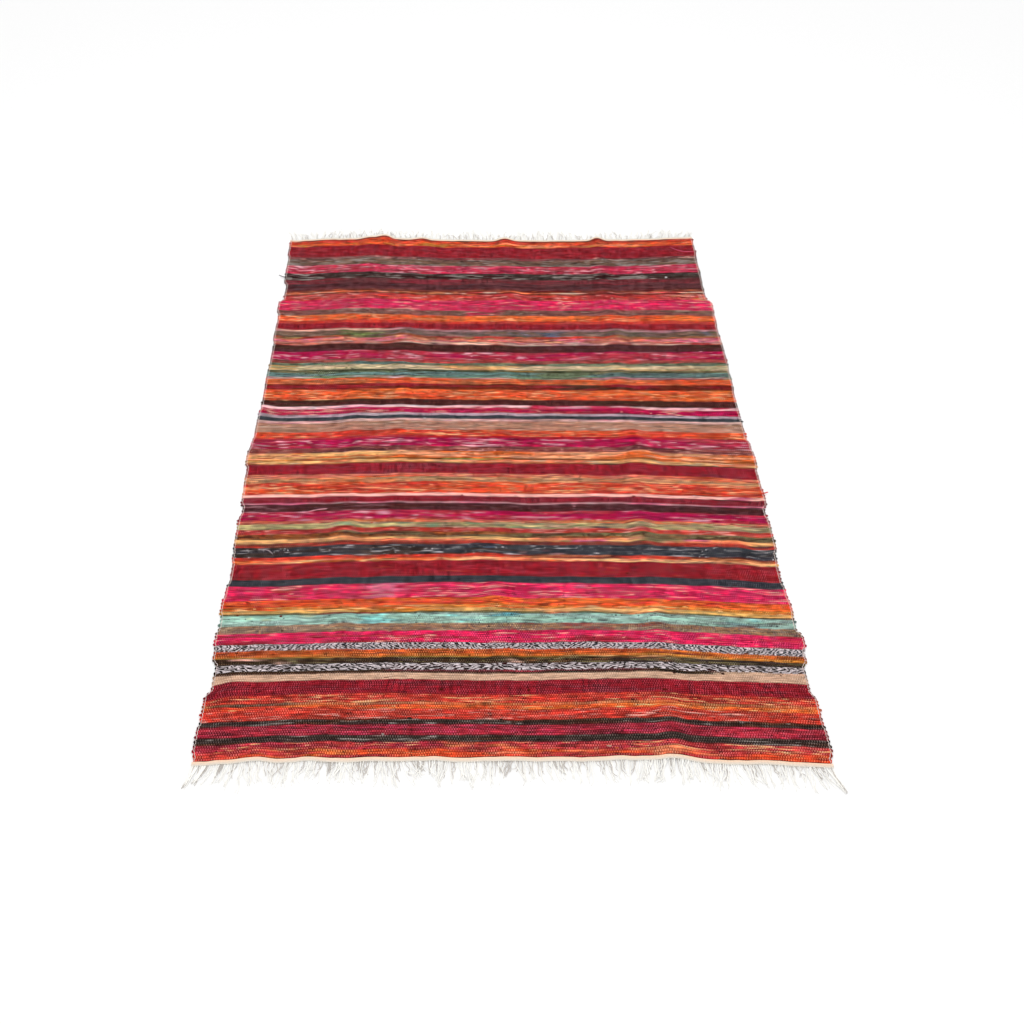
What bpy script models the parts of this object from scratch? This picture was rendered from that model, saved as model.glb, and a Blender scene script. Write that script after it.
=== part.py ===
"""Rag rug: one flat woven cloth with a cream heading and loose warp ends at both ends.

+X runs across the rug, along its wefts, +Y runs along the warps from the near end to the far end,
and +Z is up. The rug lies flat on z = 0, with its box centred on the origin.
All sizes are in metres unless a name says otherwise.
"""
import math
import random
from collections import namedtuple

import bmesh
import bpy
from mathutils import Vector

MM = 0.001

# ------------------------------------------------------------------ driving dimensions
FIELD_LENGTH = 2.000          # woven cloth between the two headings
CLOTH_THICKNESS = 0.0045      # rag wefts beaten up on cotton warps
HEADING_DEPTH = 0.010         # plain cotton picks that end the weaving
HEADING_THICKNESS = 0.0030
PARTING = 0.0003              # between two pieces that meet
SELVEDGE_STEP = 0.005         # length along the warp in which the edge steps in or out

LOCKS = 82                    # loose warp ends at each end, gathered as they lie
LOCK_ROOT_WIDTH = 0.0050
LOCK_WIDTH = 0.0034
LOCK_TIP_WIDTH = 0.0016
LOCK_TAPER_START = 0.33       # share of a lock after which it narrows to its tip
LOCK_THICKNESS = 0.0022
LOCK_LENGTHS = (0.046, 0.066)  # shortest and longest
LOCK_STEPS = 3
LOCK_DROP = 0.45              # share of a lock in which it comes down from a raised edge
LOCK_STRAY = 0.12             # how far a root strays from its even place, as a share of the pitch
LOCK_ROOT_LEAN = 0.4          # share of its lean that a lock already has at its root

# How locks lie: slow waves of lean along the fringe, each lock's own lean and curl, and the
# outward splay at the corners, which dies away over some locks. Angles are in degrees.
LEAN_WAVES = ((11.0, 23.0, 0.7), (8.0, 57.0, 2.1))  # lean, radians along the fringe, start
OWN_LEAN = 7.0
OWN_CURL = 9.0
CORNER_SPLAY = 36.0
CORNER_LOCKS = 5.0
FRINGE_SEED = 14

# Selvedges: how far the cloth reaches to the left and to the right of its middle line in each
# run of stripes, from the near end to the far end. Tight wefts draw it in, slack ones let it out.
Run = namedtuple("Run", "length_mm left_mm right_mm")
SELVEDGE_TABLE = (
    Run(18, 697, 699),
    Run(68, 702, 706),
    Run(84, 698, 703),
    Run(85, 686, 694),
    Run(45, 696, 704),
    Run(45, 700, 712),
    Run(50, 695, 700),
    Run(50, 700, 703),
    Run(45, 696, 699),
    Run(70, 691, 695),
    Run(40, 695, 698),
    Run(115, 698, 705),
    Run(40, 693, 701),
    Run(60, 700, 711),
    Run(85, 702, 709),
    Run(65, 709, 714),
    Run(40, 704, 711),
    Run(120, 699, 704),
    Run(90, 695, 704),
    Run(95, 696, 707),
    Run(130, 694, 709),
    Run(80, 698, 707),
    Run(60, 696, 709),
    Run(65, 703, 712),
    Run(95, 689, 697),
    Run(160, 699, 699),
    Run(100, 704, 704),
)

# Folds: soft ridges that run the length of the cloth where it has been folded away. Each has its
# place across the rug at both ends, its half width, and its height at the far end, the middle
# and the near end. The flat columns of cloth to its left are counted too.
Fold = namedtuple(
    "Fold", "far_x_mm near_x_mm half_width_mm far_mm middle_mm near_mm flat_columns")
FOLD_TABLE = (
    Fold(-424, -400, 54, 14.0, 8.0, 4.5, 5),
    Fold(-274, -294, 42, 9.0, 7.5, 3.5, 0),
    Fold(52, -28, 60, 10.0, 7.0, 4.0, 2),
    Fold(370, 362, 50, 14.0, 11.0, 6.0, 3),
)
LAST_FLAT_COLUMNS = 6
FOLD_SECTIONS = (-1.0, -0.5, 0.0, 0.5, 1.0)
FOLD_WANDER = 0.006           # how far a ridge strays to each side of its straight line
WANDER_TURNS = 13.0           # radians of that straying over the rug's length
FOLD_UNEVEN = 0.18            # how much its height comes and goes along the rug
UNEVEN_TURNS = 31.0

# Bow: towards the selvedges the weft lines, and so both ends of the cloth, run off along the warps.
# Each row gives its share of the rug's length and how far they are off at either selvedge.
Bow = namedtuple("Bow", "share left_mm right_mm")
BOW_TABLE = (
    Bow(0.0, -12, -16),
    Bow(0.3, -9, -14),
    Bow(0.5, -3, -11),
    Bow(0.7, 8, 3),
    Bow(1.0, 14, 18),
)
BOW_REACH = 0.700             # half the rug's width, where the table's figures hold
BOW_POWER = 2.4               # the middle stays straight and the corners run off

# Colours of the two cloths, linear.
RAG_COLOUR = (0.42, 0.055, 0.060, 1.0)
COTTON_COLOUR = (0.78, 0.70, 0.58, 1.0)
CLOTH_ROUGHNESS = 0.92


def clear_scene():
    for item in list(bpy.data.objects):
        bpy.data.objects.remove(item, do_unlink=True)


def make_collection(name):
    collection = bpy.data.collections.new(name)
    bpy.context.scene.collection.children.link(collection)
    return collection


def cloth_material(name, colour):
    material = bpy.data.materials.new(name)
    material.use_nodes = True
    shader = material.node_tree.nodes["Principled BSDF"]
    shader.inputs["Base Color"].default_value = colour
    shader.inputs["Roughness"].default_value = CLOTH_ROUGHNESS
    shader.inputs["Metallic"].default_value = 0.0
    return material


# ------------------------------------------------------------------ shape of the lying cloth
def along_share(y):
    """0 at the near end of the woven cloth, 1 at its far end."""
    return min(max(y / FIELD_LENGTH + 0.5, 0.0), 1.0)


def fold_line(fold, y):
    """Where a fold's ridge lies across the rug, at a place along it."""
    share = along_share(y)
    straight = fold.near_x_mm + (fold.far_x_mm - fold.near_x_mm) * share
    wander = FOLD_WANDER * math.sin(share * WANDER_TURNS + fold.near_x_mm)
    return straight * MM + wander


def fold_height(fold, y):
    """The ridge's height: a smooth run from the near height by the middle one to the far one."""
    share = along_share(y)
    if share < 0.5:
        low, high, part = fold.near_mm, fold.middle_mm, share * 2.0
    else:
        low, high, part = fold.middle_mm, fold.far_mm, share * 2.0 - 1.0
    smooth = low + (high - low) * part * part * (3.0 - 2.0 * part)
    return smooth * MM * (1.0 + FOLD_UNEVEN * math.sin(share * UNEVEN_TURNS + fold.far_x_mm))


def lift(x, y):
    """Height of the cloth's underside over the floor."""
    height = 0.0
    for fold in FOLD_TABLE:
        away = abs(x - fold_line(fold, y)) / (fold.half_width_mm * MM)
        if away < 1.0:
            height += fold_height(fold, y) * 0.5 * (1.0 + math.cos(math.pi * away))
    return height


def bow(x, y):
    """How far a weft line is off its straight run at a place across and along the rug."""
    share = along_share(y)
    for low, high in zip(BOW_TABLE, BOW_TABLE[1:]):
        if share <= high.share:
            break
    part = (share - low.share) / (high.share - low.share)
    if x < 0.0:
        edge_mm = low.left_mm + (high.left_mm - low.left_mm) * part
    else:
        edge_mm = low.right_mm + (high.right_mm - low.right_mm) * part
    return edge_mm * MM * (abs(x) / BOW_REACH) ** BOW_POWER


def selvedge_rows():
    """Rows of the cloth as (y, left reach, right reach), two at each step of the selvedges."""
    stretch = FIELD_LENGTH / sum(run.length_mm for run in SELVEDGE_TABLE)
    rows = []
    y = -FIELD_LENGTH / 2.0
    for run in SELVEDGE_TABLE:
        first = run is SELVEDGE_TABLE[0]
        last = run is SELVEDGE_TABLE[-1]
        start = y + (0.0 if first else SELVEDGE_STEP / 2.0)
        y += run.length_mm * stretch
        end = y - (0.0 if last else SELVEDGE_STEP / 2.0)
        rows.append((start, run.left_mm * MM, run.right_mm * MM))
        rows.append((end, run.left_mm * MM, run.right_mm * MM))
    return rows


def flat_stops(start, end, count):
    """Columns spread evenly over the flat cloth between two places, both of them left out."""
    return [start + (end - start) * (k + 1) / (count + 1) for k in range(count)]


def column_line(y, left, right):
    """All the columns of the cloth at one row, closer together over the folds."""
    stops = [-left]
    for fold in FOLD_TABLE:
        centre = fold_line(fold, y)
        half_width = fold.half_width_mm * MM
        crossing = [centre + half_width * section for section in FOLD_SECTIONS]
        stops += flat_stops(stops[-1], crossing[0], fold.flat_columns)
        stops += crossing
    stops += flat_stops(stops[-1], right, LAST_FLAT_COLUMNS)
    stops.append(right)
    return stops


# ------------------------------------------------------------------ woven field
def build_field(collection, material):
    """A grid laid on the folds, given its thickness upwards."""
    rows = selvedge_rows()
    columns = len(column_line(0.0, rows[0][1], rows[0][2]))
    bpy.ops.mesh.primitive_grid_add(
        x_subdivisions=columns - 1, y_subdivisions=len(rows) - 1, size=1.0)
    field = bpy.context.object
    field.name = "woven_field"
    field.data.name = "woven_field"
    lines = [column_line(*row) for row in rows]
    for vertex in field.data.vertices:
        column = round((vertex.co.x + 0.5) * (columns - 1))
        row = round((vertex.co.y + 0.5) * (len(rows) - 1))
        x = lines[row][column]
        y = rows[row][0]
        vertex.co = (x, y, lift(x, y))
    solidify = field.modifiers.new("cloth_thickness", "SOLIDIFY")
    solidify.thickness = CLOTH_THICKNESS
    solidify.offset = 1.0
    solidify.use_even_offset = False
    field.data.materials.append(material)
    for owner in list(field.users_collection):
        owner.objects.unlink(field)
    collection.objects.link(field)
    return field


# ------------------------------------------------------------------ headings and warp ends
def lock_lean(share, locks_to_corner, outward, chance):
    """How far a lock leans across the rug: slow waves, a little of its own, splayed corners."""
    lean = sum(size * math.sin(share * turns + start) for size, turns, start in LEAN_WAVES)
    lean += chance.uniform(-OWN_LEAN, OWN_LEAN)
    lean += outward * CORNER_SPLAY * math.exp(-(locks_to_corner / CORNER_LOCKS) ** 2)
    return math.radians(lean)


def place_section(face, centre, heading_angle, outwards, width, low, high):
    """Moves the four corners of a lock's end face to one section of its path."""
    side = Vector((math.cos(heading_angle), -outwards * math.sin(heading_angle), 0.0))
    by_height = sorted(face.verts, key=lambda corner: corner.co.z)
    for pair, z in ((by_height[:2], low), (by_height[2:], high)):
        for corner, hand in zip(sorted(pair, key=lambda corner: corner.co.x), (-1.0, 1.0)):
            corner.co = centre + side * (hand * width / 2.0)
            corner.co.z = z


def grow_lock(bm, root, outwards, length, lean, curl):
    """Extrudes one lock of warp ends from its root face, step by step along the floor."""
    middle = root.calc_center_median()
    root_height = min(corner.co.z for corner in root.verts)
    place = Vector((middle.x, middle.y, 0.0))
    stride = length / LOCK_STEPS
    face = root
    for step in range(1, LOCK_STEPS + 1):
        share = step / LOCK_STEPS
        angle = lean * (LOCK_ROOT_LEAN + (1.0 - LOCK_ROOT_LEAN) * share) + curl * share
        place.x += stride * math.sin(angle)
        place.y += stride * math.cos(angle) * outwards
        low = root_height * max(0.0, 1.0 - share / LOCK_DROP) ** 2
        taper = max(0.0, share - LOCK_TAPER_START) / (1.0 - LOCK_TAPER_START)
        width = LOCK_WIDTH + (LOCK_TIP_WIDTH - LOCK_WIDTH) * taper
        face = bmesh.ops.extrude_discrete_faces(bm, faces=[face])["faces"][0]
        place_section(face, place, angle, outwards, width, low, low + LOCK_THICKNESS)


def heading_stops(left, right, chance):
    """Where the strip's outer side is divided: each lock's root has a stop on either side."""
    pitch = (left + right) / LOCKS
    stops = [-left]
    for lock in range(LOCKS):
        middle = -left + pitch * (lock + 0.5 + chance.uniform(-LOCK_STRAY, LOCK_STRAY))
        stops += [middle - LOCK_ROOT_WIDTH / 2.0, middle + LOCK_ROOT_WIDTH / 2.0]
    stops.append(right)
    return stops


def lay_strip(bm, stops, inner, outer):
    """The heading's strip: a grid one face deep on the folds, extruded to its thickness."""
    spaces = len(stops) - 1
    bmesh.ops.create_grid(bm, x_segments=spaces, y_segments=1, size=0.5)
    far_y, near_y = max(inner, outer), min(inner, outer)
    for corner in bm.verts:
        x = stops[round((corner.co.x + 0.5) * spaces)]
        y = far_y if corner.co.y > 0.0 else near_y
        corner.co = (x, y, lift(x, inner))
    top = bmesh.ops.extrude_face_region(bm, geom=bm.faces[:])
    raised = [item for item in top["geom"] if isinstance(item, bmesh.types.BMVert)]
    bmesh.ops.translate(bm, verts=raised, vec=(0.0, 0.0, HEADING_THICKNESS))


def root_faces(bm, outer):
    """Every second face of the strip's outer side, from left to right, the first left out."""
    outer_side = [face for face in bm.faces
                  if all(abs(corner.co.y - outer) < PARTING for corner in face.verts)]
    outer_side.sort(key=lambda face: face.calc_center_median().x)
    return outer_side[1::2]


def build_heading(collection, material, name, outwards, reach):
    """A narrow strip beyond the cloth's end, with a row of locks grown from its outer side."""
    chance = random.Random(FRINGE_SEED + (1 if outwards > 0 else 0))
    left, right = reach
    inner = outwards * (FIELD_LENGTH / 2.0 + PARTING)
    outer = inner + outwards * HEADING_DEPTH
    bm = bmesh.new()
    lay_strip(bm, heading_stops(left, right, chance), inner, outer)
    for lock, root in enumerate(root_faces(bm, outer)):
        to_left = lock
        to_right = LOCKS - 1 - lock
        outward = -1.0 if to_left < to_right else 1.0
        lean = lock_lean(lock / LOCKS, min(to_left, to_right), outward, chance)
        length = chance.uniform(*LOCK_LENGTHS)
        curl = math.radians(chance.uniform(-OWN_CURL, OWN_CURL))
        grow_lock(bm, root, outwards, length, lean, curl)
    bmesh.ops.recalc_face_normals(bm, faces=bm.faces[:])

    mesh = bpy.data.meshes.new(name)
    bm.to_mesh(mesh)
    bm.free()
    heading = bpy.data.objects.new(name, mesh)
    heading.data.materials.append(material)
    collection.objects.link(heading)
    return heading


def bow_wefts(pieces):
    """Moves every mesh along the warps as its weft lines run off."""
    for piece in pieces:
        for vertex in piece.data.vertices:
            vertex.co.y += bow(vertex.co.x, vertex.co.y)


def centre_on_origin(pieces):
    """Shifts every mesh so that the whole rug's box is centred over the origin."""
    corners = [vertex.co for piece in pieces for vertex in piece.data.vertices]
    middle_x = (min(c.x for c in corners) + max(c.x for c in corners)) / 2.0
    middle_y = (min(c.y for c in corners) + max(c.y for c in corners)) / 2.0
    for piece in pieces:
        for vertex in piece.data.vertices:
            vertex.co.x -= middle_x
            vertex.co.y -= middle_y


def build_rug():
    clear_scene()
    collection = make_collection("rag_rug")
    rags = cloth_material("cotton_rag_weave", RAG_COLOUR)
    cotton = cloth_material("undyed_cotton_warp", COTTON_COLOUR)
    rows = selvedge_rows()
    near_reach = rows[0][1:]
    far_reach = rows[-1][1:]
    field = build_field(collection, rags)
    near = build_heading(collection, cotton, "heading_near", -1.0, near_reach)
    far = build_heading(collection, cotton, "heading_far", 1.0, far_reach)
    bow_wefts([field, near, far])
    centre_on_origin([field, near, far])


build_rug()
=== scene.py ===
"""Rag rug, as it lies: the looks of the part.

The rug is a plain weave. Thick wefts of torn cotton rag lie side by side over thin cotton warps,
which show as rows of small pale dots. Both ends have a narrow cream heading and loose warp ends.
+X runs along the wefts, +Y along the warps to the far end, +Z up. Sizes are in metres unless a
name says otherwise. Every random choice is seeded, so each run gives the same rug.
"""
import functools
import math
import random
from collections import namedtuple

import bpy
import numpy as np
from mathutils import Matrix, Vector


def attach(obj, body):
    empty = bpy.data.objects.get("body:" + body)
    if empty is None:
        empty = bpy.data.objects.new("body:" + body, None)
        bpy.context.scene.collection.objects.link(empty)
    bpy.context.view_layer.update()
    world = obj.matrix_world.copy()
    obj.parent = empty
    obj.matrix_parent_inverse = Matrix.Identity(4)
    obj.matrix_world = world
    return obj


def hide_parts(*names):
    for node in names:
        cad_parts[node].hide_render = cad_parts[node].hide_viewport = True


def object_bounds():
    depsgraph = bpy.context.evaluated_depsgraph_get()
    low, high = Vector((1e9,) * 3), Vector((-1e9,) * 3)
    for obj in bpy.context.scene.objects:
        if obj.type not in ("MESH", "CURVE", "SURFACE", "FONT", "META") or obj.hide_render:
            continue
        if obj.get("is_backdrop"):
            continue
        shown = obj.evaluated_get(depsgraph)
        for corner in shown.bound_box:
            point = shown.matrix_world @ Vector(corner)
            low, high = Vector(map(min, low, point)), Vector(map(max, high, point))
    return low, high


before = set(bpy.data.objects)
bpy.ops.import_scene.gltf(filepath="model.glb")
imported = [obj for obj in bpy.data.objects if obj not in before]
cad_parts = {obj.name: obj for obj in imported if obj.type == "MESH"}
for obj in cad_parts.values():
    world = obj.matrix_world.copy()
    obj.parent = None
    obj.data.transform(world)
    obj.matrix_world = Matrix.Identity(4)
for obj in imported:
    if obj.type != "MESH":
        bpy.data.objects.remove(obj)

cad_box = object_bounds()
MM = 0.001

# ------------------------------------------------------------------ sizes shared with the solids
FIELD_LENGTH = 2.000
CLOTH_THICKNESS = 0.0045
HEADING_DEPTH = 0.010
HEADING_THICKNESS = 0.0030
PARTING = 0.0003
SELVEDGE_STEP = 0.005
BOW_REACH = 0.700             # half the cloth's width

LOCKS = 82                    # bundles of warp ends at each end, as the solids have them
LOCK_LENGTHS = (0.046, 0.066)
LOCK_DROP = 0.45              # share of its length in which a lock comes down to the floor
LOCK_STRAY = 0.12             # how far a lock leaves its even place, in pitches
LOCK_ROOT_LEAN = 0.4          # share of its lean that a lock has at the heading
LEAN_WAVES = ((11.0, 23.0, 0.7), (8.0, 57.0, 2.1))  # degrees, turns along the end, start
OWN_LEAN = 7.0                # degrees, and so are the next two
OWN_CURL = 9.0
CORNER_SPLAY = 36.0
CORNER_LOCKS = 5.0            # locks over which the splay fades
FRINGE_SEED = 14

# How far the cloth reaches to the left and right of its middle, run by run from the near end.
Run = namedtuple("Run", "length_mm left_mm right_mm")
SELVEDGE_TABLE = [Run(*row) for row in (
    (18, 697, 699), (68, 702, 706), (84, 698, 703), (85, 686, 694), (45, 696, 704), (45, 700, 712),
    (50, 695, 700), (50, 700, 703), (45, 696, 699), (70, 691, 695), (40, 695, 698),
    (115, 698, 705), (40, 693, 701), (60, 700, 711), (85, 702, 709), (65, 709, 714),
    (40, 704, 711), (120, 699, 704), (90, 695, 704), (95, 696, 707), (130, 694, 709),
    (80, 698, 707), (60, 696, 709), (65, 703, 712), (95, 689, 697), (160, 699, 699),
    (100, 704, 704),
)]

# Soft ridges from folding the rug away, near end to far end.
Fold = namedtuple("Fold", "far_x_mm near_x_mm half_width_mm far_mm middle_mm near_mm")
FOLD_TABLE = (
    Fold(-424, -400, 54, 14.0, 8.0, 4.5),
    Fold(-274, -294, 42, 9.0, 7.5, 3.5),
    Fold(52, -28, 60, 10.0, 7.0, 4.0),
    Fold(370, 362, 50, 14.0, 11.0, 6.0),
)
FOLD_SHOWN = 0.30             # between the ends the creases have relaxed to low, broken swells
FOLD_WANDER = 0.006
WANDER_TURNS = 13.0
FOLD_UNEVEN = 0.18
UNEVEN_TURNS = 31.0

# Weft lines run off along the warps towards the selvedges, more at the ends.
Bow = namedtuple("Bow", "share left_mm right_mm")
BOW_TABLE = (
    Bow(0.0, -12, -16), Bow(0.3, -9, -14), Bow(0.5, -3, -11), Bow(0.7, 8, 3), Bow(1.0, 14, 18),
)
BOW_POWER = 2.4

# ------------------------------------------------------------------ sizes that only the looks have
STEP_SHOWN = 0.014            # the selvedge eases over two or three rags from run to run
PICK_MM = 5.6                 # one rag weft, beaten up
PICK_UNEVEN = (0.86, 1.14)
TWIST_PICK_MM = 6.8           # one weft of two yarns twisted together
WARP_MM = 2.8                 # from one warp to the next
CREST_RISE = 0.00045          # a rag's back over the cloth's mean face
GROOVE_DROP = 0.00085         # and the valley between two rags under it
SLUB_RISE = 0.00050           # thick and thin places of torn rag
SLUB_LENGTH = 0.034
LIGHTNESS = np.array((0.21, 0.72, 0.07))  # how much red, green and blue add to it
PALE_FROM, PALE_OVER = 0.26, 0.22  # from this lightness on, rags count as pale
DOTS_LOST = 0.8               # share of the warp dots that don't show on pale rags
DOTS_ON_TWIST = 0.35          # and the share that shows on twisted yarn
PICK_ROWS = (0.0, 0.30, 0.70)  # rows of vertices in one pick, as shares of its depth
HALF_COLUMNS = 100            # columns of vertices from the middle to a selvedge, about 7 mm
SELVEDGE_COLUMNS = (0.0085, 0.0062, 0.0036, 0.0010)  # and the last, which round the edge
SEAM_COLUMN = 0.0004          # a column close to the middle seam, so that its shading stays true
ROW_RAGGED = 0.0005           # how far a rag's back strays along the warps
EDGE_HEIGHT = 0.0022          # the selvedge's middle over the floor
EDGE_BELOW = 0.0006           # and its lower side under that
BODY_INSET = 0.0030           # the cloth ends this far inside the rags that turn round its edge
LOOP_REACH = 0.0012           # how far a rag's back stands out of the groove beside it
LOOP_STRAY = 0.0010
PROUD_TURNS = 0.12            # share of the turned rags that stand out of the edge
PROUD_OUT = (0.0020, 0.0045)
TURN_OUT = (-0.0008, 0.0014)
TURN_RADIUS = (0.0014, 0.0021)
TURN_DEPTH = 0.0060           # how far in a rag starts to turn
TURN_RAISED = 0.0003
TURN_SIDES = 6
TURN_PAINTED_SHADE = 0.62             # painted shade: a turned rag is darkened for the shaded side it shows
TURN_TONES = (0.8, 1.15)
EDGE_ROUND = 0.0065           # how far in the edge of the cloth starts to round off
EDGE_WARPS = ((0.0050, 0), (0.0062, 1))  # two doubled outer warps: distance in, and which picks
EDGE_WARP_RADIUS = 0.0006
EDGE_WARP_OVER, EDGE_WARP_BETWEEN, EDGE_WARP_UNDER = 0.0009, -0.0004, -0.0022
UNDERSIDE_GAP = 0.0002
FLOOR_DEPTH = -0.0006
SEAM_SHARES = (0.25, 0.50, 0.75)  # where the cloth's mesh is divided, at a groove
HAND = {"left": -1.0, "right": 1.0}
NOISE_SPOTS = 512

# How far each patch of weft lines has drifted along the warps: place, half size, shift.
Drift = namedtuple("Drift", "x_mm y_mm half_x_mm half_y_mm shift_mm")
DRIFT_TABLE = [Drift(*row) for row in (
    (-395, 1000, 100, 60, 9.1), (-395, 995, 260, 380, 7.5), (-670, 980, 100, 60, -11.3),
    (-220, 952, 60, 110, 6.6), (330, 900, 420, 380, -3.8), (120, 898, 160, 110, -4.1),
    (400, 760, 60, 110, -6.1), (-20, 732, 100, 110, 6.3), (-645, 710, 100, 380, -11.0),
    (-700, 705, 60, 110, -9.7), (-345, 650, 100, 200, 4.9), (-480, 615, 60, 380, 6.1),
    (720, 600, 160, 200, -9.5), (-420, 485, 60, 110, -6.5), (530, 480, 100, 60, -6.1),
    (-260, 458, 60, 110, 6.0), (-620, 400, 100, 200, -6.5), (80, 400, 160, 200, -4.4),
    (-200, 360, 160, 60, -4.6), (-330, 330, 260, 380, 7.6), (330, 330, 420, 380, -2.3),
    (-70, 140, 260, 380, 2.0), (645, 128, 420, 110, -4.9), (-700, 120, 60, 60, 11.7),
    (-590, 50, 260, 200, -8.8), (400, -60, 60, 60, 10.6), (280, -120, 100, 60, -6.4),
    (680, -120, 100, 60, -7.7), (645, -145, 420, 380, -5.4), (-265, -145, 260, 380, 5.9),
    (-320, -175, 160, 110, -5.5), (80, -250, 160, 200, -4.1), (-60, -395, 60, 110, 5.5),
    (660, -400, 60, 200, -5.7), (-600, -450, 160, 200, -5.1), (-135, -500, 260, 200, 4.4),
    (645, -600, 260, 200, -6.8), (-615, -660, 420, 60, -3.1), (180, -715, 100, 380, 2.2),
    (645, -720, 420, 35, -6.2), (-700, -820, 60, 60, -12.9), (-5, -850, 260, 200, -4.3),
    (320, -905, 160, 380, 5.4), (-480, -950, 160, 200, 2.6), (-563, -1000, 60, 60, 5.6),
    (-431, -1000, 50, 60, 2.2), (361, -1000, 70, 70, 4.2), (229, -1000, 50, 60, 2.2),
    (559, -1000, 50, 60, 2.0), (-167, -1000, 40, 50, 2.2), (-690, 1000, 40, 40, -7.0),
)]
# And finer wander, from rags that are thick and thin: how far, one wave across and along.
WANDER = ((0.0015, 0.052, 0.024), (0.0011, 0.019, 0.0062))

# Small local swellings of the cloth: place, half size across and along, rise.
Swelling = namedtuple("Swelling", "x_mm y_mm half_x_mm half_y_mm rise_mm")
SWELLING_TABLE = [Swelling(*row) for row in (
    (-372, 1000, 40, 60, 10.0), (-240, 1000, 34, 50, 6.0), (45, 1000, 38, 50, 7.0),
    (368, 1000, 34, 50, 9.0), (-400, 650, 60, 60, 4.0), (-415, -350, 55, 75, 8.5),
    (-392, -640, 40, 60, 4.5), (-385, -55, 60, 60, 3.0), (-300, 460, 55, 60, 7.0),
    (-298, 40, 50, 50, 3.0), (-295, -560, 40, 60, 3.0), (64, 670, 45, 75, 5.0),
    (-20, 470, 45, 50, 3.0), (-15, -380, 45, 70, 3.0), (-25, -560, 45, 70, 6.5),
    (385, 470, 40, 60, 5.0), (385, 10, 45, 90, 7.0), (360, -340, 45, 75, 8.5),
    (360, -640, 40, 80, 5.5), (360, -930, 45, 110, 8.0), (265, 490, 35, 45, 3.0),
    (600, -400, 40, 60, 3.0), (-390, 700, 190, 450, 3.0),
)]

# ------------------------------------------------------------------ yarns, sRGB
YARNS = {
    "dusty mauve": "703A3C", "pale straw": "C5AC8A", "moss": "3E432B", "putty": "738963",
    "shell pink": "F1B7BB", "grey lilac": "AE96A0", "dusty pink": "C99E97", "cherry": "B21721",
    "soft apricot": "E89A6F", "gold olive": "67330C", "soft gold": "DDA164", "cinnamon": "91441E",
    "toffee": "C36A3F", "strong pink": "FAB5A9", "rust gold": "CC5E23", "rust orange": "BD451C",
    "bronze": "8B6325", "olive drab": "585634", "mushroom": "A3724F", "bark": "301E10",
    "clay": "C65F34", "brown rose": "8C3934", "terracotta": "8D4F2D", "earth brown": "705142",
    "umber grey": "6E534F", "nut brown": "673F24", "maroon": "8E121E", "madder": "8E151D",
    "wine": "7B1A25", "plum": "592427", "aubergine": "43191D", "dark brown": "3F1513",
    "umber": "391D12", "black": "30231F", "black red": "280707", "slate": "2A2C33",
    "slate blue": "2C3036", "denim": "56607A", "teal": "5B807B", "deep teal": "506764",
    "sea green": "5F6E4E", "turquoise": "96BAAD", "mint": "8FAFA0", "aqua": "7FBDB9",
    "leaf green": "6C7840", "black green": "070E07", "olive": "6E623E", "sage": "A69764",
    "reed": "A38567", "clay pink": "D19E8A", "soot": "070707", "golden": "C77329",
    "dull yellow": "D29C58", "marigold": "E05E24", "orange": "DE4520", "apricot": "EC764F",
    "flame": "CE3224", "red": "B12E23", "brick": "6E2B20", "coral": "B73131", "salmon": "CF624F",
    "hot pink": "E21C4F", "crimson": "A92433", "magenta": "AF073C", "rose": "C32646",
    "pale pink": "DF93A8", "blush": "D15878", "old rose": "B5757D", "taupe": "AF765F",
    "grey taupe": "68463A", "stone": "674A37", "grey brown": "7C423D", "tan": "D16338",
    "rose brown": "A16970", "cream": "CDA489", "dark red": "4F0707", "oxblood": "601707",
    "chalk": "BAA5AC", "undyed": "FFFDF8", "warp cotton": "DCCCC6", "peach cream": "FFDFC4",
    # cotton with painted shade is grey for the shadows among the warp ends.
    # cream with painted shade colours the heading's outer pick, darkened for the shade at its edge.
    "warm cream": "EFDDCB", "cream with painted shade": "E6DED2", "cotton with painted shade": "CFC8C1",
    "twist white": "CFC2C5", "twist black": "241F1D", "pink thread": "F1A9B6",
    "rosy thread": "F5A292", "peach thread": "F8A970", "yellow thread": "F6C27C",
    "white thread": "E2D9DC", "grey thread": "958982", "beige thread": "D9B8A2",
    "grass green": "8C9440", "deep aqua": "4F8E96",
}

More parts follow.
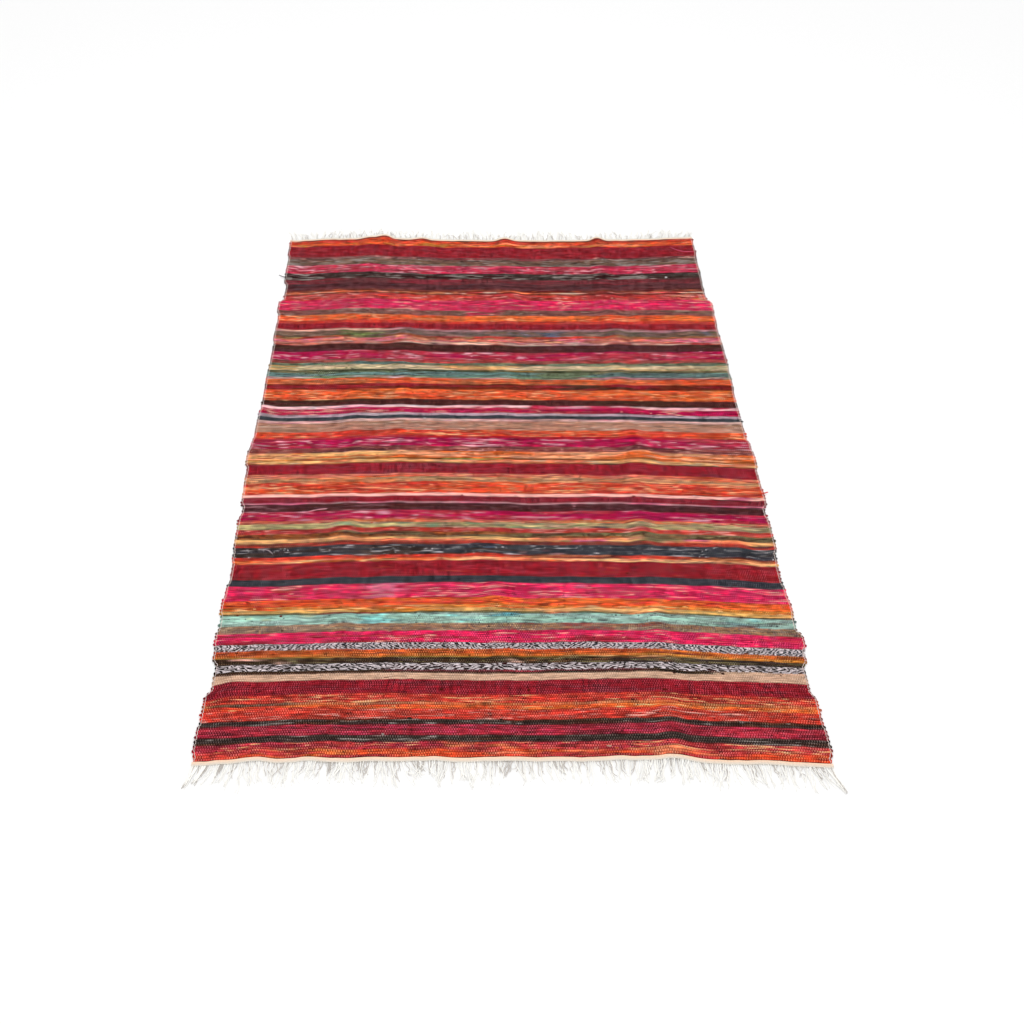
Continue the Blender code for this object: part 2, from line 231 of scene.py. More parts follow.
# The stripes, from the far end to the near end. Each is woven from a ground rag, mixed over a share
# of its length with a second one. Thin threads of the fleck colour show as long streaks, short
# specks or, where two yarns are twisted together, as a slanting barber-pole twist.
# Streaks and specks go from 0 to 1, and one turn of the twist is twist_mm long. A rag with streaks
# under 0 is smoother in tone than the rest.
Band = namedtuple("Band", "name depth_mm ground second share fleck streaks specks twist_mm",
                  defaults=(0.0, 0))
BAND_TABLE = [Band(*row) for row in (
    ("far brick", 8.0, "brick", "salmon", 0.35, "flame", 0.2),
    ("far edge", 15.3, "flame", "orange", 0.45, "orange", 0.25),
    ("far orange", 17.8, "orange", "apricot", 0.3, "golden", 0.3),
    ("first maroon", 64.3, "maroon", "madder", 0.4, "wine", 0.1),
    ("dusty line", 10.1, "dusty mauve", "wine", 0.3, "rosy thread", 0.18),
    ("grey taupe", 36.8, "grey taupe", "stone", 0.35, "grey thread", 0.3),
    ("pink over black", 45.2, "crimson", "rose", 0.4, "pink thread", 0.2),
    ("black marl", 33.2, "black red", "black", 0.45, "grey thread", 0.22, 0.07),
    ("plum", 26.3, "plum", "wine", 0.3, "plum", 0.0),
    ("aubergine", 25.1, "aubergine", "plum", 0.35, "slate", 0.1),
    ("brown under aubergine", 9.0, "plum", "dark brown", 0.4, "dark red", 0.15),
    ("rust line", 11.6, "dark red", "brick", 0.4, "tan", 0.2),
    ("tan line", 6.5, "tan", "coral", 0.35, "beige thread", 0.35),
    ("olive shadow", 7.5, "brick", "dark red", 0.35, "tan", 0.18),
    ("far coral", 30.4, "coral", "flame", 0.4, "rosy thread", 0.18),
    ("far hot pink", 52.2, "hot pink", "rose", 0.38, "rosy thread", 0.14),
    ("grey brown", 28.7, "grey brown", "grey taupe", 0.4, "beige thread", 0.12),
    ("far bright orange", 29.0, "orange", "marigold", 0.4, "peach thread", 0.18),
    ("red", 14.1, "red", "flame", 0.5, "coral", 0.1),
    ("second maroon", 29.1, "maroon", "madder", 0.3, "wine", 0.05),
    ("peach line", 8.7, "rose brown", "old rose", 0.4, "grey brown", 0.2),
    ("grey green", 25.3, "earth brown", "umber grey", 0.4, "moss", 0.22, 0.1),
    ("red over salmon", 11.1, "terracotta", "flame", 0.3, "olive", 0.22),
    ("salmon", 16.4, "salmon", "blush", 0.35, "peach thread", 0.28),
    ("beige line", 14.3, "salmon", "rose brown", 0.3, "beige thread", 0.3),
    ("brown", 17.5, "dark brown", "umber", 0.35, "aubergine", 0.0),
    ("aubergine brown", 16.9, "aubergine", "dark brown", 0.4, "plum", 0.05),
    ("far magenta", 37.7, "magenta", "crimson", 0.4, "pink thread", 0.18),
    ("red brown", 15.5, "brown rose", "coral", 0.25, "umber grey", 0.18),
    ("sea green line", 13.2, "sea green", "stone", 0.3, "deep teal", 0.24, 0.2),
    ("straw", 21.3, "pale straw", "dull yellow", 0.2, "leaf green", 0.14, 0.2),
    ("bottle green", 10.8, "moss", "olive", 0.35, "black green", 0.2, 0.22),
    ("teal", 21.5, "teal", "sea green", 0.35, "black", 0.14, 0.24),
    ("grey line", 8.6, "putty", "old rose", 0.35, "beige thread", 0.2),
    ("orange over brown", 24.3, "orange", "clay", 0.45, "marigold", 0.22),
    ("oxblood", 25.1, "oxblood", "maroon", 0.4, "umber", 0.1),
    ("bright orange", 44.7, "orange", "marigold", 0.4, "peach thread", 0.22),
    ("dark brown", 25.3, "dark brown", "umber", 0.3, "aubergine", 0.0),
    ("pink line", 10.4, "shell pink", "pale pink", 0.25, "white thread", 0.1),
    ("middle magenta", 23.1, "magenta", "crimson", 0.3, "rosy thread", 0.16),
    ("lilac line", 10.2, "grey lilac", "chalk", 0.25, "slate", 0.08),
    ("slate line", 14.0, "slate blue", "slate", 0.3, "slate", 0.0),
    ("dusty pink line", 9.5, "dusty pink", "blush", 0.12, "pink thread", 0.12),
    ("taupe", 37.2, "taupe", "taupe", 0.0, "beige thread", 0.13),
    ("flame", 25.3, "flame", "orange", 0.4, "peach thread", 0.22),
    ("crimson over magenta", 8.5, "cherry", "crimson", 0.4, "magenta", 0.12),
    ("magenta", 33.8, "magenta", "crimson", 0.35, "pink thread", 0.24),
    ("purple brown", 19.7, "brown rose", "plum", 0.4, "rosy thread", 0.16, 0.1),
    ("apricot", 27.1, "soft apricot", "marigold", 0.3, "cinnamon", 0.16, 0.12),
    ("olive line", 5.4, "gold olive", "cinnamon", 0.35, "golden", 0.14),
    ("gold line", 10.9, "soft gold", "apricot", 0.35, "pale straw", 0.18),
    ("thin olive line", 3.4, "cinnamon", "olive", 0.35, "soft gold", 0.14),
    ("middle maroon", 40.5, "maroon", "wine", 0.25, "wine", 0.0),
    ("coral line", 12.9, "salmon", "orange", 0.35, "peach thread", 0.18),
    ("tan grey", 17.2, "toffee", "mushroom", 0.3, "peach thread", 0.2),
    ("middle flame", 43.2, "flame", "orange", 0.42, "peach thread", 0.22),
    ("strong pink line", 10.4, "strong pink", "strong pink", 0.0, "white thread", -0.06),
    ("maroon line", 21.2, "wine", "maroon", 0.4, "plum", 0.0),
    ("grey pink line", 5.4, "old rose", "blush", 0.4, "grey thread", 0.1),
    ("black maroon", 26.1, "aubergine", "dark brown", 0.4, "old rose", 0.06),
    ("near magenta", 31.8, "magenta", "crimson", 0.3, "pink thread", 0.14),
    ("near tan line", 9.9, "salmon", "tan", 0.45, "sage", 0.22),
    ("sage", 19.2, "sage", "reed", 0.4, "leaf green", 0.2),
    ("red under sage", 15.5, "red", "coral", 0.35, "rosy thread", 0.22),
    ("olive mottle", 17.0, "olive", "cinnamon", 0.45, "umber", 0.26, 0.3),
    ("gold peach", 13.1, "soft gold", "apricot", 0.35, "olive", 0.12),
    ("red over slate", 12.3, "red", "brick", 0.4, "plum", 0.12),
    ("slate", 34.0, "slate", "black", 0.35, "white thread", 0.15, 0.07),
    ("flame under slate", 11.3, "flame", "brick", 0.35, "orange", 0.22),
    ("golden thread", 9.3, "marigold", "apricot", 0.4, "yellow thread", 0.35),
    ("near maroon", 50.4, "maroon", "madder", 0.4, "red", 0.08),
    ("slate blue", 22.0, "slate blue", "slate", 0.45, "aubergine", 0.0),
    ("hot pink", 45.8, "hot pink", "rose", 0.35, "rosy thread", 0.16),
    ("flame to orange", 21.8, "flame", "orange", 0.5, "marigold", 0.3),
    ("golden", 9.9, "golden", "marigold", 0.35, "yellow thread", 0.2),
    ("yellow line", 10.0, "dull yellow", "golden", 0.15, "yellow thread", 0.16),
    ("near olive line", 5.3, "olive drab", "brick", 0.2, "black green", 0.2, 0.08),
    ("turquoise", 29.3, "turquoise", "mint", 0.35, "slate", 0.1, 0.14),
    ("brown marl", 20.9, "mushroom", "reed", 0.4, "umber grey", 0.14, 0.4),
    ("near hot pink", 34.3, "hot pink", "crimson", 0.22, "rosy thread", 0.12),
    ("upper twist", 18.3, "twist black", "slate", 0.3, "twist white", 0.0, 0.0, 12),
    ("rust orange", 12.5, "rust orange", "rust gold", 0.4, "brick", 0.22),
    ("golden under rust", 8.0, "rust gold", "golden", 0.25, "brick", 0.14),
    ("pale golden line", 3.0, "bronze", "golden", 0.25, "umber", 0.16),
    ("olive black", 15.4, "bark", "black", 0.35, "olive", 0.22),
    ("lower twist", 19.0, "twist black", "black red", 0.4, "twist white", 0.0, 0.0, 22),
    ("plum under twist", 4.65, "plum", "crimson", 0.3, "umber", 0.0),
    ("dark thread", 4.65, "umber", "black green", 0.3, "umber", 0.0),
    ("cream", 18.1, "cream", "cream", 0.0, "beige thread", -0.12),
    ("last maroon", 37.7, "maroon", "wine", 0.25, "wine", 0.0),
    ("last red", 22.4, "flame", "red", 0.4, "peach thread", 0.22),
    ("taupe line", 7.3, "clay", "stone", 0.3, "coral", 0.15),
    ("marigold line", 10.1, "orange", "marigold", 0.4, "yellow thread", 0.16),
    ("last flame", 27.2, "flame", "red", 0.4, "rosy thread", 0.2),
    ("black line", 13.6, "black", "umber", 0.35, "grey thread", 0.14),
    ("last crimson", 26.4, "crimson", "wine", 0.4, "rose", 0.22),
    ("last black", 17.6, "black", "umber", 0.3, "grey thread", 0.14),
    ("crimson to orange", 18.2, "crimson", "coral", 0.45, "peach thread", 0.2),
    ("near orange", 18.9, "orange", "coral", 0.4, "tan", 0.18),
)]

# Lengths of another rag that show in a stripe, from one place across the rug to another: from and
# to in millimetres, the yarn, and the share of that length that it covers.
LENGTH_TABLE = {
    "far orange": [(-265, -140, "golden", 0.7), (320, 400, "apricot", 0.5)],
    "dusty line": [(-640, -450, "clay pink", 0.3)],
    "tan line": [(-690, -260, "marigold", 0.3), (380, 700, "salmon", 0.5)],
    "far coral": [(600, 700, "golden", 0.4), (130, 185, "oxblood", 0.5)],
    "grey brown": [(-80, 40, "rose", 0.7)],
    "far bright orange": [(-200, 200, "marigold", 0.5)],
    "peach line": [(-700, -340, "clay pink", 0.7)],
    "grey green": [(50, 72, "denim", 0.9), (92, 118, "denim", 0.9), (150, 215, "denim", 1.0),
        (-150, 20, "umber grey", 0.6), (655, 690, "denim", 0.7), (-480, -335, "leaf green", 0.6)],
    "red over salmon": [(-700, -590, "leaf green", 0.4), (-480, -340, "olive", 0.4),
        (-250, 100, "coral", 0.5), (400, 590, "olive", 0.4)],
    "beige line": [(-300, -20, "clay pink", 0.6), (0, 350, "rose brown", 0.5),
        (480, 700, "coral", 0.5)],
    "brown": [(40, 500, "aubergine", 0.5)],
    "red brown": [(-250, 50, "coral", 0.35), (330, 700, "coral", 0.3)],
    "sea green line": [(-20, 480, "putty", 0.5), (-600, -250, "teal", 0.5)],
    "straw": [(-690, -560, "putty", 0.25), (-200, 60, "soft gold", 0.6),
        (485, 700, "mushroom", 0.5)],
    "bottle green": [(0, 200, "bronze", 0.45), (-300, -100, "teal", 0.25),
        (400, 700, "olive", 0.4)],
    "teal": [(300, 700, "deep teal", 0.7), (-345, -240, "slate", 0.5)],
    "grey line": [(-700, -200, "chalk", 0.35), (350, 700, "dusty mauve", 0.5)],
    "oxblood": [(40, 420, "umber", 0.4), (-700, -250, "madder", 0.5)],
    "pink line": [(-60, 700, "rose", 0.3)],
    "lilac line": [(-400, -230, "chalk", 0.5)],
    "magenta": [(-700, -550, "pale pink", 0.2), (-330, -230, "pale pink", 0.24),
        (150, 300, "pale pink", 0.22), (400, 700, "rose", 0.4)],
    "apricot": [(-700, -300, "soft gold", 0.5)],
    "olive line": [(180, 700, "clay", 0.45), (-190, 5, "grass green", 1.0),
        (-700, -540, "golden", 0.4)],
    "gold line": [(50, 250, "apricot", 0.6)],
    "thin olive line": [(-700, -560, "toffee", 0.8), (220, 700, "bark", 0.5)],
    "tan grey": [(-680, -600, "mushroom", 0.6), (-100, 0, "mushroom", 0.5),
        (50, 150, "mushroom", 0.4)],
    "middle flame": [(-170, 150, "orange", 0.6)],
    "strong pink line": [(620, 700, "blush", 0.7)],
    "grey pink line": [(-700, -400, "chalk", 0.4)],
    "near magenta": [(-540, -500, "pale pink", 0.45), (-310, -265, "pale pink", 0.4),
        (-100, -60, "pale pink", 0.55)],
    "sage": [(250, 320, "slate", 0.5), (-450, 150, "putty", 0.35)],
    "olive mottle": [(250, 700, "olive", 0.5)],
    "gold peach": [(100, 520, "blush", 0.3), (330, 450, "olive", 0.5)],
    "red over slate": [(540, 700, "aubergine", 0.4)],
    "slate": [(-130, 20, "denim", 0.2), (30, 150, "old rose", 0.3)],
    "flame under slate": [(-40, 700, "toffee", 0.35)],
    "golden thread": [(-150, 50, "soft apricot", 0.6), (150, 700, "soft apricot", 0.8)],
    "hot pink": [(-600, -500, "coral", 0.4), (-350, -250, "blush", 0.5), (150, 200, "blush", 0.5)],
    "flame to orange": [(-100, 700, "marigold", 0.5)],
    "golden": [(-700, -550, "orange", 0.6)],
    "yellow line": [(-400, -100, "golden", 0.5), (40, 420, "soft gold", 0.6)],
    "near olive line": [(60, 500, "toffee", 0.4)],
    "turquoise": [(-385, -280, "aqua", 0.6), (530, 625, "aqua", 0.5), (-145, -85, "aqua", 0.5),
        (-40, 45, "deep aqua", 0.45), (-620, -480, "sage", 0.35), (400, 700, "umber grey", 0.2)],
    "brown marl": [(-700, -400, "reed", 0.4), (0, 400, "brown rose", 0.4)],
    "upper twist": [(150, 215, "soot", 0.8), (590, 700, "slate", 0.6)],
    "rust orange": [(330, 700, "rust gold", 0.5)],
    "golden under rust": [(300, 600, "golden", 0.5)],
    "pale golden line": [(120, 600, "soft gold", 0.4)],
    "olive black": [(-650, -500, "clay pink", 0.3), (0, 50, "clay pink", 0.4),
        (60, 400, "nut brown", 0.3)],
    "plum under twist": [(-720, -260, "bark", 1.0), (340, 480, "bark", 0.9),
        (470, 720, "cream", 1.0)],
    "dark thread": [(400, 480, "bark", 0.6), (470, 720, "cream", 1.0)],
    "taupe line": [(200, 700, "toffee", 0.4)],
    "marigold line": [(100, 700, "marigold", 0.7), (-700, -420, "flame", 0.5)],
    "crimson to orange": [(-240, 10, "tan", 0.3)],
    "near orange": [(-60, 70, "tan", 0.4), (-100, 200, "apricot", 0.3), (250, 450, "apricot", 0.5),
        (-470, -330, "marigold", 0.3)],
}

# Knots and doubled rags that stand up a little: place, yarn, half length along the weft.
Knot = namedtuple("Knot", "x_mm y_mm yarn half_mm")
KNOT_TABLE = [Knot(*row) for row in (
    (620, 666, "oxblood", 12), (568, 722, "dark brown", 7), (522, 784, "black", 6),
    (580, 778, "white thread", 5), (-212, 158, "black", 9), (-232, 94, "black", 5),
    (-214, 84, "white thread", 4), (-608, -134, "oxblood", 6), (-106, -220, "oxblood", 3),
    (356, -220, "oxblood", 6), (24, -342, "oxblood", 8), (-344, -360, "umber", 6),
    (-344, -318, "red", 5), (-248, -514, "black", 9), (310, -484, "oxblood", 5),
    (420, -454, "oxblood", 5), (-634, -572, "oxblood", 6), (-466, -550, "crimson", 6),
    (572, -514, "black", 7), (450, -548, "crimson", 4), (386, -784, "umber", 5),
    (498, -780, "umber", 5), (358, -830, "oxblood", 7), (-226, -904, "black", 7),
    (216, -976, "clay pink", 6), (232, -980, "tan", 5), (-20, -906, "umber", 4),
    (-540, -656, "umber", 4), (-654, -610, "oxblood", 4), (-548, -616, "oxblood", 4),
    (-270, 738, "black", 6), (-156, -826, "oxblood", 5), (46, -826, "oxblood", 4),
    (-284, -944, "grey thread", 4),
)]

KNOT_RADIUS = 0.0026
KNOT_LUMPS = (0.85, 1.15)
KNOT_STRAY = 0.0006
KNOT_SUNK = 0.0003
KNOT_SIDES = 8
KNOT_FLATTEN = 0.55
KNOT_SHADE = 0.8              # a knot is drawn a little darker than its yarn

# Loose threads on the face: a bent line of places, yarn, thickness.
Thread = namedtuple("Thread", "places_mm yarn thick_mm")
THREAD_TABLE = (
    Thread(((618, 948), (640, 930), (662, 920), (700, 917)), "blush", 1.9),
    Thread(((555, -221), (600, -224), (640, -227), (672, -231)), "umber", 2.0),
    Thread(((700, -196), (712, -193), (722, -190)), "flame", 3.2),
    Thread(((-720, 786), (-706, 780), (-690, 776)), "black red", 2.6),
    Thread(((-515, -275), (-490, -268), (-465, -266)), "pink thread", 1.8),
    Thread(((-208, -18), (-196, -24), (-196, -28)), "pink thread", 1.8),
    Thread(((-620, -398), (-600, -404), (-592, -414)), "chalk", 1.5),
)
THREAD_SIDES = 5
STRAY_THREADS = 420           # short ends of rag thread scattered over the face
STRAY_AREA = (0.68, 0.985)    # half width and half length of the part they lie on
STRAY_LENGTHS = (0.004, 0.012)
STRAY_THICK = 0.0009
STRAY_FLECKED = 0.3           # share of them in the stripe's fleck colour, the rest in its shade
STRAY_SHADE = 0.35
STRAY_LEAN = 0.16
STRAY_BEND = 0.25
FACE_SEED = 5


# ------------------------------------------------------------------ how the cloth lies
def along_share(y):
    """0 at the near end of the cloth, 1 at the far end."""
    return np.clip(y / FIELD_LENGTH + 0.5, 0.0, 1.0)


def smooth(part):
    """Eases from 0 to 1."""
    return part * part * (3.0 - 2.0 * part)


def fold_line(fold, y):
    """Where a fold's crest runs, nearly straight from end to end."""
    share = along_share(y)
    straight = fold.near_x_mm + (fold.far_x_mm - fold.near_x_mm) * share
    return straight * MM + FOLD_WANDER * np.sin(share * WANDER_TURNS + fold.near_x_mm)


def fold_height(fold, y):
    """How high a fold would stand if it hadn't relaxed."""
    share = along_share(y)
    to_middle = smooth(np.clip(share * 2.0, 0.0, 1.0))
    to_far = smooth(np.clip(share * 2.0 - 1.0, 0.0, 1.0))
    height = fold.near_mm + (fold.middle_mm - fold.near_mm) * to_middle
    height = height + (fold.far_mm - fold.middle_mm) * to_far
    return height * MM * (1.0 + FOLD_UNEVEN * np.sin(share * UNEVEN_TURNS + fold.far_x_mm))


def hump(away):
    """A rounded hump, 1 at its crest and 0 from 1 away."""
    return 0.5 * (1.0 + np.cos(math.pi * np.clip(np.abs(away), 0.0, 1.0)))


def fold_hump(fold, x, y):
    return hump((x - fold_line(fold, y)) / (fold.half_width_mm * MM))


def lift(x, y):
    """Height of the cloth's underside over the floor: the relaxed folds and small swellings."""
    height = sum(fold_height(fold, y) * fold_hump(fold, x, y) for fold in FOLD_TABLE)
    height = height * FOLD_SHOWN
    for swelling in SWELLING_TABLE:
        across = hump((x - swelling.x_mm * MM) / (swelling.half_x_mm * MM))
        along = hump((y - swelling.y_mm * MM) / (swelling.half_y_mm * MM))
        height = height + swelling.rise_mm * MM * across * along
    return height


def bow(x, y):
    """How far the weft lines run off along the warps towards the selvedges."""
    share = along_share(y)
    shares = [row.share for row in BOW_TABLE]
    left = np.interp(share, shares, [row.left_mm for row in BOW_TABLE])
    right = np.interp(share, shares, [row.right_mm for row in BOW_TABLE])
    return np.where(x < 0.0, left, right) * MM * (np.abs(x) / BOW_REACH) ** BOW_POWER


@functools.lru_cache(maxsize=None)
def noise_spots(seed):
    return np.random.default_rng(seed).random((NOISE_SPOTS, NOISE_SPOTS))


def noise(x, y, cell_x, cell_y, seed):
    """Smooth random hills from 0 to 1, one cell wide, alike on every run."""
    spots = noise_spots(seed)
    u, v = x / cell_x + NOISE_SPOTS, y / cell_y + NOISE_SPOTS
    i, j = np.floor(u).astype(int), np.floor(v).astype(int)
    a, b = smooth(u - i), smooth(v - j)
    i0, i1, j0, j1 = (k % NOISE_SPOTS for k in (i, i + 1, j, j + 1))
    low = spots[i0, j0] * (1.0 - a) + spots[i1, j0] * a
    high = spots[i0, j1] * (1.0 - a) + spots[i1, j1] * a
    return low * (1.0 - b) + high * b


def along_rags(x, pick, length, seed):
    """Noise that changes along each rag and starts anew in the next one."""
    starts = noise_spots(seed + 1)[0] * length * NOISE_SPOTS
    whole = np.asarray(pick).astype(int)
    return noise(x + starts[whole % NOISE_SPOTS], whole, length, 1.0, seed)


def drift(x, y):
    """How far the weft lines have moved along the warps from their bowed run."""
    shift = 0.0
    for seed, (reach, across, along) in enumerate(WANDER):
        shift = shift + reach * (2.0 * noise(x, y, across, along, 40 + seed) - 1.0)
    for row in DRIFT_TABLE:
        over = hump((x - row.x_mm * MM) / (row.half_x_mm * MM))
        up = hump((y - row.y_mm * MM) / (row.half_y_mm * MM))
        shift = shift + row.shift_mm * MM * over * up
    return shift


def selvedge_reach(y, step=SELVEDGE_STEP):
    """Left and right reach of the cloth at places along it, with short steps between its runs."""
    stretch = FIELD_LENGTH / sum(run.length_mm for run in SELVEDGE_TABLE)
    stops, left, right = [], [], []
    end = -FIELD_LENGTH / 2.0
    for run in SELVEDGE_TABLE:
        start, end = end, end + run.length_mm * stretch
        stops += [start + step / 2.0, end - step / 2.0]
        left += [run.left_mm * MM] * 2
        right += [run.right_mm * MM] * 2
    return np.interp(y, stops, left), np.interp(y, stops, right)


def shown_reach(y, side):
    """Reach on one side, where each run of the selvedge has drifted to with its weft lines."""
    moved = y + drift(np.full(len(y), HAND[side] * BOW_REACH), y)
    left, right = selvedge_reach(moved, STEP_SHOWN)
    return right if side == "right" else left


def laid(x, y, at=None):
    """Where a place of the straight weave lies along the rug, shifted as the cloth is at `at`."""
    at = y if at is None else at
    return y + bow(x, at) + drift(x, at)


def widened(column, count):
    """One column of numbers for each of so many places across."""
    return np.repeat(column[:, None], count, axis=1)


# ------------------------------------------------------------------ colours
def linear(code):
    """A linear colour from an sRGB hex code."""
    parts = np.array([int(code[k:k + 2], 16) / 255.0 for k in (0, 2, 4)])
    return np.where(parts <= 0.04045, parts / 12.92, ((parts + 0.055) / 1.055) ** 2.4)


def yarn(name):
    """The linear colour of a yarn."""
    return linear(YARNS[name])


@functools.lru_cache(maxsize=None)
def stripe_yarns(field):
    """The yarn that each stripe has in one column of the table, as linear colours."""
    return np.array([yarn(getattr(band, field)) for band in BAND_TABLE])


# ------------------------------------------------------------------ picks
Picks = namedtuple("Picks", "start depth band")


def beat_up():
    """All the picks from the near end to the far end: start, depth and stripe of each."""
    chance = random.Random(FACE_SEED)
    stretch = FIELD_LENGTH / sum(band.depth_mm * MM for band in BAND_TABLE)
    starts, depths, bands = [], [], []
    y = -FIELD_LENGTH / 2.0
    for index in range(len(BAND_TABLE) - 1, -1, -1):
        band = BAND_TABLE[index]
        depth = band.depth_mm * MM * stretch
        thick = TWIST_PICK_MM if band.twist_mm else PICK_MM
        count = max(1, round(depth / (thick * MM)))
        parts = [chance.uniform(*PICK_UNEVEN) for _ in range(count)]
        for part in parts:
            starts.append(y)
            depths.append(depth * part / sum(parts))
            bands.append(index)
            y += depths[-1]
    return Picks(np.array(starts), np.array(depths), np.array(bands))


# How one rag changes along its run: strength of the change, its length, the noise's seed.
RAG_TONES = ((0.60, 0.075, 65), (0.72, 0.026, 67))
PATCH_TONE = 0.16             # and how whole patches of the cloth do
HUE_LENGTH = 0.110
HUE_SHIFT = (-0.05, 0.34, 0.12)  # how red, green and blue change as one rag turns to the next
LEAST_UNEVEN, UNEVEN_BY_STREAKS = 0.35, 2.4
# Where a stripe's second rag takes over: weight of noise shared by the stripe and of each rag's
# own, and how wide the change from one rag to the other is.
TOGETHER, APART = 0.45, 0.55
SECOND_FROM, SECOND_SPREAD, SECOND_OVER = 0.10, 0.62, 0.16
LENGTH_RAGGED = 0.060         # how far a length of another rag ends before or past its place
LENGTH_FADE = 0.022
COVER_SPREAD, COVER_OVER = 1.25, 0.2


def rag_tones(x, pick, streaks):
    """Torn rags differ in tone along their length, and a little in hue, the streaky ones most."""
    uneven = np.clip(LEAST_UNEVEN + UNEVEN_BY_STREAKS * streaks, 0.0, 1.0)
    tone = sum(size * (along_rags(x, pick, length, seed) - 0.5) for size, length, seed in RAG_TONES)
    tone = tone + PATCH_TONE * (noise(x, pick * 1.0, 0.180, 4.0, 66) - 0.5)
    hue = along_rags(x, pick, HUE_LENGTH, 68) - 0.5
    shift = tone[..., None] + hue[..., None] * np.array(HUE_SHIFT)
    return 1.0 + uneven[..., None] * shift


def rag_colours(x, pick, picks):
    """Ground and fleck colours, and how the fleck shows, for places along given picks."""
    band = picks.band[pick]
    share = np.array([row.share for row in BAND_TABLE])[band]
    together = noise(x, band * 3.7, 0.210, 1.0, 61)
    apart = along_rags(x, pick, 0.120, 62)
    mixed = TOGETHER * together + APART * apart - (1.0 - share) * SECOND_SPREAD - SECOND_FROM
    mixed = np.clip(mixed / SECOND_OVER, 0, 1)
    mixed = np.where(share > 0.0, mixed, 0.0)[..., None]
    ground = stripe_yarns("ground")[band] * (1.0 - mixed) + stripe_yarns("second")[band] * mixed
    names = [row.name for row in BAND_TABLE]
    ragged = LENGTH_RAGGED * (along_rags(x, pick, 0.30, 63) - 0.5)
    patchy = along_rags(x, pick, 0.060, 64)
    for name, lengths in LENGTH_TABLE.items():
        here = band == names.index(name)
        if not here.any():
            continue
        for from_mm, to_mm, colour, covered in lengths:
            middle, half = (from_mm + to_mm) / 2.0 * MM, (to_mm - from_mm) / 2.0 * MM
            inside = (half - np.abs(x - middle + ragged)) / LENGTH_FADE
            inside = np.clip(inside, 0.0, 1.0) * here
            cover = np.clip((patchy - 1.0 + covered * COVER_SPREAD) / COVER_OVER, 0.0, 1.0)
            cover = (cover * inside)[..., None]
            ground = ground * (1.0 - cover) + yarn(colour) * cover
    manner = np.array([(row.streaks, row.specks, row.twist_mm) for row in BAND_TABLE])[band]
    ground = ground * rag_tones(x, pick, manner[..., 0])
    return ground, stripe_yarns("fleck")[band], manner


# ------------------------------------------------------------------ shapes as arrays
# points; faces; the colours; how flecks show, with the share of warp dots last; weave holds the
# warp and pick number at each point; flat lists the faces that keep a hard edge.
Shape = namedtuple("Shape", "points faces ground fleck manner weave flat")


def join(shapes):
    """One shape from several, the faces renumbered."""
    faces, flat, points, count = [], [], 0, 0
    for shape in shapes:
        faces += [[corner + points for corner in face] for face in shape.faces]
        flat += [face + count for face in shape.flat]
        points += len(shape.points)
        count += len(shape.faces)
    stacked = {field: np.concatenate([getattr(shape, field) for shape in shapes])
               for field in ("points", "ground", "fleck", "manner", "weave")}
    return Shape(faces=faces, flat=flat, **stacked)


def paint(mesh, name, values):
    """Stores a colour at each point of a mesh."""
    layer = mesh.attributes.new(name, "FLOAT_COLOR", "POINT")
    if values.shape[1] == 3:
        values = np.hstack([values, np.ones((len(values), 1))])
    layer.data.foreach_set("color", values.astype(np.float32).ravel())


def make_piece(name, shape, material, node):
    """A mesh object from a shape, riding on the root in place of its CAD node."""
    mesh = bpy.data.meshes.new(name)
    mesh.from_pydata(shape.points.tolist(), [], shape.faces)
    mesh.shade_smooth()
    for face in shape.flat:
        mesh.polygons[face].use_smooth = False
    corners = np.zeros(len(mesh.loops), dtype=np.int32)
    mesh.loops.foreach_get("vertex_index", corners)
    layer = mesh.uv_layers.new(name="weave")
    layer.data.foreach_set("uv", shape.weave[corners].astype(np.float32).ravel())
    for layer_name in ("ground", "fleck", "manner"):
        paint(mesh, layer_name, getattr(shape, layer_name))
    mesh.materials.append(material)
    piece = bpy.data.objects.new(name, mesh)
    bpy.context.scene.collection.objects.link(piece)
    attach(piece, "root")
    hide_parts(node)
    return piece


def cloth_faces(columns, picks):
    """Faces of one closed piece of cloth, three rows a pick on top and one underneath.

    Returns the faces and, by name, the faces of each wall."""
    top_rows = 3 * picks + 1
    under_rows = picks + 2
    under = top_rows * columns
    faces = []
    for rows, base, order in ((top_rows, 0, 1), (under_rows, under, -1)):
        low = base + (np.arange(rows - 1)[:, None] * columns + np.arange(columns - 1)).ravel()
        quads = np.stack([low, low + 1, low + 1 + columns, low + columns], axis=1)
        faces += quads[:, ::order].tolist()
    walls = {}
    last_top, last_under = (top_rows - 1) * columns, under + (under_rows - 1) * columns
    start = len(faces)
    for c in range(columns - 1):
        faces.append([c, under + c, under + c + 1, c + 1])
        faces.append([last_top + c + 1, last_under + c + 1, last_under + c, last_top + c])
    walls["ends"] = range(start, len(faces))
    for side, column in (("left", 0), ("right", columns - 1)):
        start = len(faces)
        stops = [0] + [3 * pick + 1 for pick in range(picks)] + [top_rows - 1]
        for k in range(len(stops) - 1):
            face = [row * columns + column for row in range(stops[k], stops[k + 1] + 1)]
            face += [under + (k + 1) * columns + column, under + k * columns + column]
            faces.append(face if side == "left" else face[::-1])
        walls[side] = range(start, len(faces))
    return faces, walls


